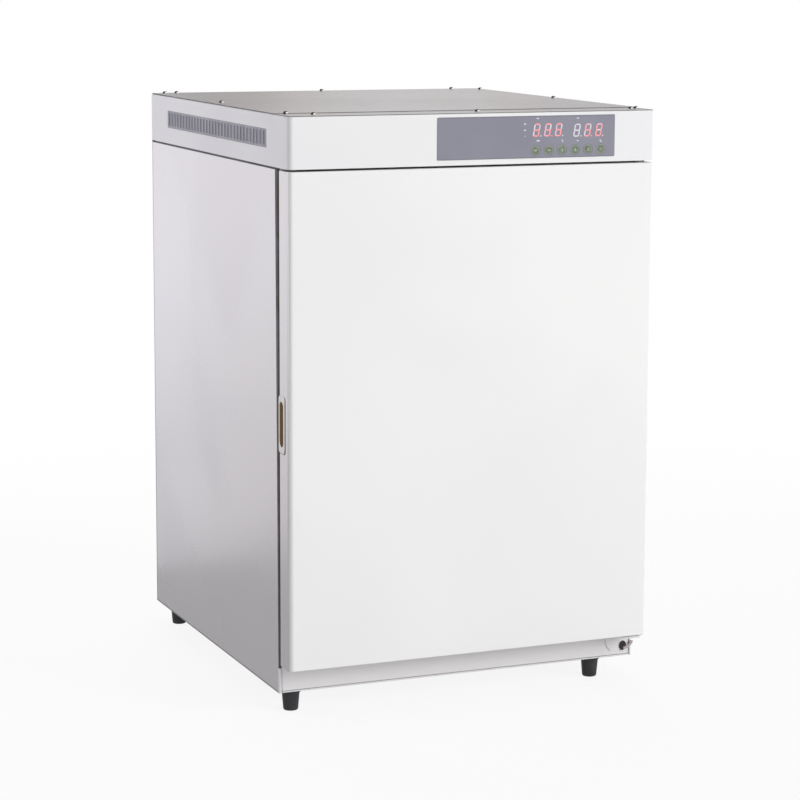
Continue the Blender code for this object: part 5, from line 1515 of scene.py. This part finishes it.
    def key(self, name: str, x: float, sign: str) -> None:
        """One domed key with its printed ring and sign.

        Args:
            name: the key's name.
            x: its place across the panel.
            sign: the kind of sign on it.
        """
        reach = self.key_radius
        profile = [
            (0.0, -0.0002), (reach * 0.55, -0.00012), (reach * 0.82, 0.00002), (reach * 0.86, 0.0),
            (reach * 0.94, 0.0), (reach, 0.0004), (reach, 0.0018), (0.0020, 0.0018), (0.0020, 0.0057),
            (0.0, 0.0057),
        ]
        cap = Bench.turned(f"key_{name}_cap", profile, (x, self.face, self.key_z), Axis.Y, 40)
        middle = Vector((x, self.key_z))
        Bench.paint(
            cap,
            (Palette.KEY_OLIVE, Palette.KEY_RING),
            lambda face: (face.center.xz - middle).length > reach * 0.85
            and face.center.y < self.face + 0.0003,
        )
        carrier = CarriedNode(f"key_{name}", Palette.KEY_OLIVE).carrier()
        Bench.finish(cap, carrier, Palette.KEY_OLIVE, f"key_{name}")
        shapes = {
            "bar": [((-0.0004, 0.0), (0.0050, 0.0013))],
            "left": [((-0.0014, 0.0), (0.0022, 0.0026)), ((0.0010, 0.0), (0.0034, 0.0011))],
            "post": [((0.0, 0.0), (0.0012, 0.0050)), ((0.0015, -0.0010), (0.0010, 0.0026))],
            "up": [((0.0, -0.0012), (0.0044, 0.0010)), ((0.0006, 0.0012), (0.0026, 0.0010))],
            "bow": [((-0.0012, 0.0008), (0.0011, 0.0028)), ((0.0014, -0.0004), (0.0011, 0.0026))],
        }
        bars = [self.bar((x + cx, self.key_z + cz), size, 0.0003) for (cx, cz), size in shapes[sign]]
        drawn = Bench.merge(bars[0], *bars[1:])
        drawn.name = drawn.data.name = f"key_{name}_sign"
        Bench.finish(drawn, carrier, Palette.KEY_SIGN, even=False)


@dataclass
class Case:
    """The painted case: base pan, sides, back, face frame, feet and the lower hinge bracket."""

    front: float = -0.2776
    gap_shade_band: Pair = (-0.2750, 0.0105)
    gap_shade_low: float = 0.066
    strip: float = -0.2738
    # Past this x the right panel's lower front return is painted dark as painted shade.
    painted_shade_x: float = 0.2729
    fold_lines: Pair = (0.0325, 0.0337)
    pan_corner: Pair = (0.2667, 0.005)
    tab_front: float = -0.2809
    tab_seat: float = 0.0011
    body: str = "case"
    feet: tuple[tuple[str, float, float], ...] = (
        ("front_left", -0.251, -0.2576), ("front_right", 0.217, -0.2576),
        ("rear_left", -0.251, 0.2604), ("rear_right", 0.251, 0.2604),
    )

    def build(self) -> None:
        """Models and dresses the case."""
        for node in ("side_panel_left", "side_panel_right"):
            self.side(node)
        for node, finish, width in (
            ("back_panel", Palette.CASE_ENAMEL, 0.0003),
            ("face_frame", Palette.BASE_ENAMEL, 0.0004),
            ("insulation", Palette.WOOL, 0.0),
            ("hinge_upper", Palette.ZINC_STEEL, 0.0003),
            ("head_floor", Palette.SHADOW_PAINT, 0.0),
            ("power_supply", Palette.ZINC_STEEL, 0.0),
        ):
            CarriedNode(node, finish, width).build()
        self.base()
        self.bracket()
        for place, x, y in self.feet:
            self.foot(place, x, y)
        self.cap()

    def base(self) -> bpy.types.Object:
        """The base pan, with a dark line of painted shade where its lower flange is folded and a whiter strip
        of painted highlight on the flange below it.

        Returns:
            The pan.
        """
        pan = Bench.carry("base_pan", "base_pan_folded")
        reach, radius = self.pan_corner
        for vertex in pan.data.vertices:
            off = Vector((abs(vertex.co.x) - reach, vertex.co.y - self.front - radius))
            if off.x > TINY and off.y < -TINY:
                off *= off.length / max(abs(off.x), abs(off.y))
                vertex.co.x = math.copysign(reach + off.x, vertex.co.x)
                vertex.co.y = self.front + radius + off.y
        Bench.soften(pan, 0.0003, 2, 40.0)
        for z in self.fold_lines:
            Bench.bisect(pan, Axis.Z, z)
        # The fold line is painted dark as painted shade, and the flange below it whiter as a painted
        # highlight.
        Bench.paint(
            pan,
            (Palette.BASE_ENAMEL, Palette.EDGE_PAINTED_SHADE, Palette.FRONT_ENAMEL),
            lambda face: self.pan_tone(face.center),
        )
        return Bench.finish(pan, self.body, Palette.BASE_ENAMEL, "base_pan")

    def pan_tone(self, place: Vector) -> int:
        """The number of the base pan's finish at a place: a dark painted shade line on the fold, and a whiter
        painted highlight on the flange below it.
        """
        low, high = self.fold_lines
        if place.y > self.front + 0.002 or place.z > high:
            return 0
        return 1 if place.z > low else 2

    def bracket(self) -> bpy.types.Object:
        """The lower hinge bracket, with its tab rolled thinner than its plate.

        Returns:
            The bracket.
        """
        piece = Bench.carry("hinge_lower", "hinge_lower_folded")
        for vertex in piece.data.vertices:
            if abs(vertex.co.y - self.tab_front) < TINY:
                vertex.co.y = self.front - self.tab_seat
        Bench.soften(piece, 0.0002, 2, 40.0)
        return Bench.finish(piece, self.body, Palette.BASE_ENAMEL, "hinge_lower")

    def side(self, node: str) -> bpy.types.Object:
        """One side panel, with a dark band of painted shade that runs up its front return beside the door,
        wider towards the top.

        Args:
            node: the CAD node of the panel.

        Returns:
            The panel.
        """
        panel = Bench.carry(node, node + "_folded")
        Bench.soften(panel, 0.0003, 2, 40.0)
        Bench.bisect(panel, Axis.Y, *self.gap_shade_band)
        Bench.bisect(panel, Axis.Y, self.strip)
        Bench.bisect(panel, Axis.X, self.painted_shade_x)
        for z in (self.fold_lines[0], self.gap_shade_low):
            Bench.bisect(panel, Axis.Z, z)
        Bench.paint(
            panel,
            (Palette.CASE_ENAMEL, Palette.GASKET_RUBBER_AND_GAP_SHADE, Palette.FRONT_ENAMEL, Palette.EDGE_PAINTED_SHADE),
            lambda face: self.side_tone(face.center),
        )
        return Bench.finish(panel, self.body, Palette.CASE_ENAMEL, node)

    def side_tone(self, place: Vector) -> int:
        """The number of a side panel's finish at a place: the dark band of painted shade beside the door, and
        the painted highlight and painted shade lines of its lower folds.
        """
        # Above the bracket, faces in front of the slanted line take the dark rubber finish as painted shade
        # of the gap beside the door.
        if place.z > self.gap_shade_low:
            return int(place.y < self.gap_shade_band[0] + self.gap_shade_band[1] * place.z)
        # Below the bracket the front return is painted in the whiter front enamel as a painted highlight,
        # with a dark painted shade line along the right panel's outer edge.
        if place.y < self.strip:
            return 3 if place.x > self.painted_shade_x else 2
        # The strip below the lower fold line is painted dark as painted shade.
        return 3 if place.z < self.fold_lines[0] else 0

    def foot(self, place: str, x: float, y: float) -> None:
        """One tapered rubber foot on its stud.

        Args:
            place: which corner it stands at.
            x: its place across.
            y: its place along the depth.
        """
        profile = [
            (0.0, 0.0477), (0.0032, 0.0477), (0.0040, 0.0469), (0.0040, 0.0297), (0.0136, 0.0297),
            (0.0140, 0.0293), (0.0140, 0.0264), (0.0137, 0.0259), (0.0126, 0.0247), (0.0124, 0.0235),
            (0.0106, 0.0022), (0.0104, 0.0012), (0.0097, 0.0003), (0.0088, 0.0), (0.0050, 0.0),
            (0.0045, 0.0006), (0.0, 0.0006),
        ]
        foot = Bench.turned(f"foot_{place}_rubber", profile, (x, y, 0.0), Axis.Z, 48)
        node = f"foot_{place}"
        Bench.finish(foot, CarriedNode(node, Palette.RUBBER).carrier(), Palette.RUBBER, node)

    def cap(self) -> None:
        """The black cap over the lower bracket's screw, a pale rim around it as a painted highlight, and the
        bent stay that holds it.
        """
        face, x, z = self.front - self.tab_seat, 0.2603, 0.0466
        # The pale rim is a ring of whiter enamel behind the cap, a painted highlight.
        for name, radius, proud, depth, finish in (
            ("hinge_screw_painted_highlight_rim", 0.0066, 0.0006, 0.0012, Palette.FRONT_ENAMEL),
            ("hinge_screw_cap", 0.0059, 0.0016, 0.0022, Palette.BLACK_PLASTIC),
        ):
            disc = Bench.cylinder(name, (x, face - proud, z), Axis.Y, radius, depth, 40)
            for vertex in disc.data.vertices:
                vertex.co.z = z + (vertex.co.z - z) * 1.22
            Bench.soften(disc, depth * 0.3, 3)
            Bench.finish(disc, self.body, finish)
        bends = (
            (0.0006, -0.0044), (0.0046, -0.0031), (0.0083, -0.0010), (0.0110, 0.0007),
            (0.0133, 0.0033), (0.0145, 0.0064),
        )
        path = [(x + across, z + up) for across, up in bends]
        stay = Bench.strip("hinge_stay", path, 0.0043, face - 0.0026, 0.0012)
        Bench.finish(stay, self.body, Palette.STAY_STEEL)


@dataclass
class Chamber:
    """Everything inside: liner, jacket, racks, shelves, tray, duct, fan, probes and the glass door."""

    def build(self) -> None:
        """Dresses the chamber's pieces."""
        for node, finish, width in (
            ("chamber_liner", Palette.CHAMBER_STEEL, 0.0003),
            ("jacket_shell", Palette.ZINC_STEEL, 0.0),
            ("jacket_heater", Palette.HEATER, 0.0),
            ("shelf_rack_left", Palette.SHELF_STEEL, 0.0003),
            ("shelf_rack_right", Palette.SHELF_STEEL, 0.0003),
            ("shelf_lower", Palette.SHELF_STEEL, 0.0),
            ("shelf_middle", Palette.SHELF_STEEL, 0.0),
            ("shelf_upper", Palette.SHELF_STEEL, 0.0),
            ("water_tray", Palette.SHELF_STEEL, 0.0003),
            ("fan_cover", Palette.CHAMBER_STEEL, 0.0003),
            ("fan_motor", Palette.ZINC_STEEL, 0.0003),
            ("fan_wheel", Palette.WHITE_PLASTIC, 0.0),
            ("temperature_probe", Palette.CHAMBER_STEEL, 0.0),
            ("co2_sensor", Palette.WHITE_PLASTIC, 0.0003),
            ("access_port", Palette.WHITE_PLASTIC, 0.0003),
            ("gas_valve", Palette.BRASS, 0.0),
            ("glass_door", Palette.GLASS, 0.0008),
            ("glass_rail", Palette.SHELF_STEEL, 0.0002),
            ("glass_knob", Palette.WHITE_PLASTIC, 0.0004),
            ("glass_pivot_lower", Palette.SHELF_STEEL, 0.0004),
            ("glass_pivot_upper", Palette.SHELF_STEEL, 0.0004),
            ("glass_catch", Palette.VENT_PLASTIC, 0.0006),
            ("glass_seal", Palette.SILICONE, 0.0),
        ):
            CarriedNode(node, finish, width).build()


@dataclass
class RearFittings:
    """The port stopper, gas inlet and power inlet on the back."""

    def build(self) -> None:
        """Dresses the rear pieces."""
        for node, finish, width in (
            ("port_stopper", Palette.SILICONE, 0.0005),
            ("gas_inlet", Palette.BRASS, 0.0),
            ("power_inlet", Palette.BLACK_PLASTIC, 0.0004),
            ("power_rocker", Palette.BLACK_PLASTIC, 0.0004),
        ):
            CarriedNode(node, finish, width).build()


@dataclass
class Studio:
    """Floor, world, lamps and camera."""

    yaw: float = 23.289
    pitch: float = 8.904
    roll: float = 0.366
    focal: float = 2593.0
    centre: Pair = (442.0, 366.0)
    place: Point = (-1.45335, -3.58137, 1.04247)
    frame_px: float = 800.0
    sensor: float = 36.0
    lamps: tuple[tuple[str, Point, Point, float, float, Colour, bool], ...] = (
        ("key_lamp", (6.0, -6.8, 3.4), (0.0, -0.3, 0.45), 4.0, 640.0, (1.0, 1.0, 1.0), False),
        ("side_lamp", (-2.0, 0.85, 1.6), (-0.3, 0.0, 0.6), 1.2, 10.5, (0.97, 0.90, 1.08), True),
        ("top_lamp", (0.3, 1.2, 3.2), (0.0, 0.0, 0.8), 2.0, 20.0, (1.0, 1.0, 1.0), True),
        ("rear_lamp", (0.8, 3.6, 2.0), (0.0, 0.3, 0.4), 2.2, 45.0, (1.0, 1.0, 1.0), True),
    )

    def build(self) -> None:
        """Makes the stage."""
        scene = bpy.context.scene
        scene.view_settings.view_transform = "Standard"
        self.floor()
        self.wall_card()
        self.floor_card()
        self.world()
        for lamp in self.lamps:
            self.lamp(*lamp)
        self.camera()

    def floor(self) -> None:
        """A pale floor that the camera sees as white away from the shadow."""
        bpy.ops.object.select_all(action="DESELECT")
        bpy.ops.mesh.primitive_plane_add(size=14.0, location=(0.0, 0.0, 0.0))
        floor = Bench.settle("studio_floor")
        material = bpy.data.materials.new("studio_floor")
        material.use_nodes = True
        sheet = Sheet(material.node_tree)
        shader = material.node_tree.nodes["Principled BSDF"]
        shader.inputs["Base Color"].default_value = (0.80, 0.80, 0.80, 1.0)
        shader.inputs["Roughness"].default_value = 0.9
        glow = sheet.add("ShaderNodeEmission", in_Color=(1.0, 1.0, 1.0, 1.0), in_Strength=1.0)
        far = sheet.add("ShaderNodeVectorMath", operation="LENGTH")
        sheet.put(far, 0, sheet.add("ShaderNodeTexCoord").outputs["Object"])
        share = sheet.add("ShaderNodeMapRange", interpolation_type="SMOOTHSTEP")
        sheet.put(share, "Value", far.outputs["Value"])
        for label, value in zip(("From Min", "From Max", "To Min", "To Max"), (0.9, 2.2, 0.88, 1.0)):
            sheet.put(share, label, value)
        keep = sheet.add("ShaderNodeMath", operation="MULTIPLY")
        sheet.put(keep, 0, self.seen(sheet))
        sheet.put(keep, 1, share.outputs["Result"])
        mix = sheet.add("ShaderNodeMixShader")
        sheet.put(mix, 0, keep.outputs["Value"])
        sheet.put(mix, 1, shader.outputs["BSDF"])
        sheet.put(mix, 2, glow.outputs["Emission"])
        sheet.put(material.node_tree.nodes["Material Output"], "Surface", mix.outputs["Shader"])
        floor.data.materials.append(material)

    @staticmethod
    def card(
        name: str, place: Point, size: Pair, turn: float
    ) -> tuple[bpy.types.Object, Sheet, bpy.types.Node]:
        """Adds a glowing sheet that only mirror rays see.

        Args:
            name: its name.
            place: its middle.
            size: its width and height.
            turn: its turn about X.

        Returns:
            The card, its node tree and its emission node.
        """
        bpy.ops.object.select_all(action="DESELECT")
        bpy.ops.mesh.primitive_plane_add(size=1.0, location=place, rotation=(turn, 0.0, 0.0))
        card = bpy.context.active_object
        card.scale = (*size, 1.0)
        card = Bench.settle(name)
        for ray in ("camera", "diffuse", "shadow", "transmission", "volume_scatter"):
            setattr(card, "visible_" + ray, False)
        material = bpy.data.materials.new(name)
        material.use_nodes = True
        sheet = Sheet(material.node_tree)
        material.node_tree.nodes.remove(material.node_tree.nodes["Principled BSDF"])
        glow = sheet.add("ShaderNodeEmission", in_Color=(1.0, 1.0, 1.0, 1.0), in_Strength=1.0)
        sheet.put(material.node_tree.nodes["Material Output"], "Surface", glow.outputs["Emission"])
        card.data.materials.append(material)
        return card, sheet, glow

    def wall_card(self) -> None:
        """The soft wall that the side and the top mirror: darker low down, with upright clouds."""
        _, sheet, glow = self.card("wall_card", (-0.75, 0.62, 1.25), (4.5, 2.5), math.pi / 2)
        place = sheet.add("ShaderNodeTexCoord").outputs["Object"]
        parts = sheet.add("ShaderNodeSeparateXYZ", in_Vector=place)
        height = self.curve(
            sheet, parts.outputs["Z"], (0.0, 1.0),
            ((0.0, 0.60), (0.11, 0.76), (0.215, 0.79), (0.32, 0.86), (0.42, 0.92), (0.53, 0.97), (1.0, 1.0)),
        )
        across = self.curve(
            sheet, parts.outputs["X"], (-0.8, 0.8),
            ((0.0, 0.90), (0.13, 0.92), (0.26, 1.0), (0.38, 0.90), (0.44, 0.64), (0.50, 0.69), (0.56, 0.88),
             (0.66, 0.98), (0.74, 0.99), (0.755, 1.0), (0.79, 0.93), (0.93, 0.90), (1.0, 0.90)),
        )
        both = sheet.add("ShaderNodeMath", operation="MULTIPLY")
        sheet.put(both, 0, height)
        sheet.put(both, 1, across)
        stretched = sheet.add("ShaderNodeMapping", in_Vector=place, in_Scale=(5.0, 1.0, 0.4))
        noise = sheet.add(
            "ShaderNodeTexNoise", in_Vector=stretched.outputs["Vector"], in_Scale=1.3, in_Detail=2.0
        )
        cloud = Finish._ranged(sheet, noise.outputs["Fac"], (0.36, 0.64), (0.0, 1.0))
        sheet.put(glow, "Color", Finish._mixed(sheet, cloud, (0.95, 0.96, 1.0), (1.0, 0.97, 0.97)))
        sheet.put(glow, "Strength", both.outputs["Value"])

    @staticmethod
    def curve(
        sheet: Sheet, value: bpy.types.NodeSocket, taken: Pair, spots: Sequence[Pair]
    ) -> bpy.types.NodeSocket:
        """Maps a value through a drawn curve.

        Args:
            sheet: the tree to add to.
            value: the socket to map.
            taken: the range that it comes in, laid over the curve's 0 to 1.
            spots: the curve's points, the first at 0 and the last at 1.

        Returns:
            The mapped value's socket.
        """
        part = Finish._ranged(sheet, value, taken, (0.0, 1.0))
        drawn = sheet.add("ShaderNodeFloatCurve", in_Value=part)
        points = drawn.mapping.curves[0].points
        points[0].location, points[1].location = spots[0], spots[-1]
        for spot in spots[1:-1]:
            points.new(*spot)
        drawn.mapping.update()
        return drawn.outputs["Value"]

    def floor_card(self) -> None:
        """The darker ground that mirror rays see in place of the white one."""
        _, _, glow = self.card("floor_card", (0.0, -1.19, 0.002), (6.0, 3.62), 0.0)
        glow.inputs["Strength"].default_value = 0.42

    @staticmethod
    def seen(sheet: Sheet) -> bpy.types.NodeSocket:
        """A value that is 1 for camera, mirror and glass rays.

        Args:
            sheet: the tree to add to.

        Returns:
            The value's socket.
        """
        rays = sheet.add("ShaderNodeLightPath")
        first = sheet.add("ShaderNodeMath", operation="MAXIMUM")
        sheet.put(first, 0, rays.outputs["Is Camera Ray"])
        sheet.put(first, 1, rays.outputs["Is Glossy Ray"])
        second = sheet.add("ShaderNodeMath", operation="MAXIMUM")
        sheet.put(second, 0, first.outputs["Value"])
        sheet.put(second, 1, rays.outputs["Is Transmission Ray"])
        return second.outputs["Value"]

    def world(self) -> None:
        """A white surround for the camera and mirrors, and a soft grey one for the light."""
        world = bpy.data.worlds.new("studio_world")
        bpy.context.scene.world = world
        world.use_nodes = True
        sheet = Sheet(world.node_tree)
        world.node_tree.nodes.clear()
        shown = sheet.add("ShaderNodeBackground", in_Color=(1.0, 1.0, 1.0, 1.0), in_Strength=1.0)
        light = sheet.add("ShaderNodeBackground", in_Color=(1.0, 1.0, 1.0, 1.0), in_Strength=0.38)
        mix = sheet.add("ShaderNodeMixShader")
        sheet.put(mix, 0, self.seen(sheet))
        sheet.put(mix, 1, light.outputs["Background"])
        sheet.put(mix, 2, shown.outputs["Background"])
        out = sheet.add("ShaderNodeOutputWorld")
        sheet.put(out, "Surface", mix.outputs["Shader"])

    @staticmethod
    def lamp(
        name: str, place: Point, target: Point, size: float, power: float, colour: Colour, mirrored: bool
    ) -> None:
        """Adds a square area lamp.

        Args:
            name: its name.
            place: where it hangs.
            target: what it points at.
            size: its width.
            power: its power in watts.
            colour: the tint of its light.
            mirrored: whether mirror rays see it.
        """
        data = bpy.data.lights.new(name, "AREA")
        data.shape = "SQUARE"
        data.size = size
        data.energy = power
        data.color = colour
        lamp = bpy.data.objects.new(name, data)
        lamp.location = place
        lamp.rotation_euler = (Vector(target) - Vector(place)).to_track_quat("-Z", "Y").to_euler()
        lamp.visible_glossy = mirrored
        bpy.context.scene.collection.objects.link(lamp)

    def camera(self) -> None:
        """The camera at the photograph's place. Its shift is small, because every other view keeps it."""
        yaw, pitch, roll = (math.radians(value) for value in (self.yaw, self.pitch, self.roll))
        ahead = Vector((math.sin(yaw) * math.cos(pitch), math.cos(yaw) * math.cos(pitch), -math.sin(pitch)))
        right = ahead.cross(Vector((0.0, 0.0, 1.0))).normalized()
        up = right.cross(ahead)
        across = math.cos(roll) * right + math.sin(roll) * up
        upward = -math.sin(roll) * right + math.cos(roll) * up
        data = bpy.data.cameras.new("photo_camera")
        data.sensor_width = self.sensor
        data.sensor_fit = "HORIZONTAL"
        data.lens = self.focal / self.frame_px * self.sensor
        data.shift_x = (self.frame_px / 2 - self.centre[0]) / self.frame_px
        data.shift_y = (self.centre[1] - self.frame_px / 2) / self.frame_px
        data.clip_end = 50.0
        camera = bpy.data.objects.new("photo_camera", data)
        turned = Matrix((across, upward, -ahead)).transposed().to_4x4()
        camera.matrix_world = Matrix.Translation(self.place) @ turned
        bpy.context.scene.collection.objects.link(camera)
        bpy.context.scene.camera = camera


def main() -> None:
    """Builds every sub-assembly, then the stage."""
    logging.basicConfig(level=logging.INFO, format="%(message)s")
    for part in (Studio(), OuterDoor(), ControlHead(), ControlPanel(), Case(), Chamber(), RearFittings()):
        part.build()
        log.info("built %s", type(part).__name__)
    bpy.context.view_layer.update()


if __name__ == "__main__":
    main()
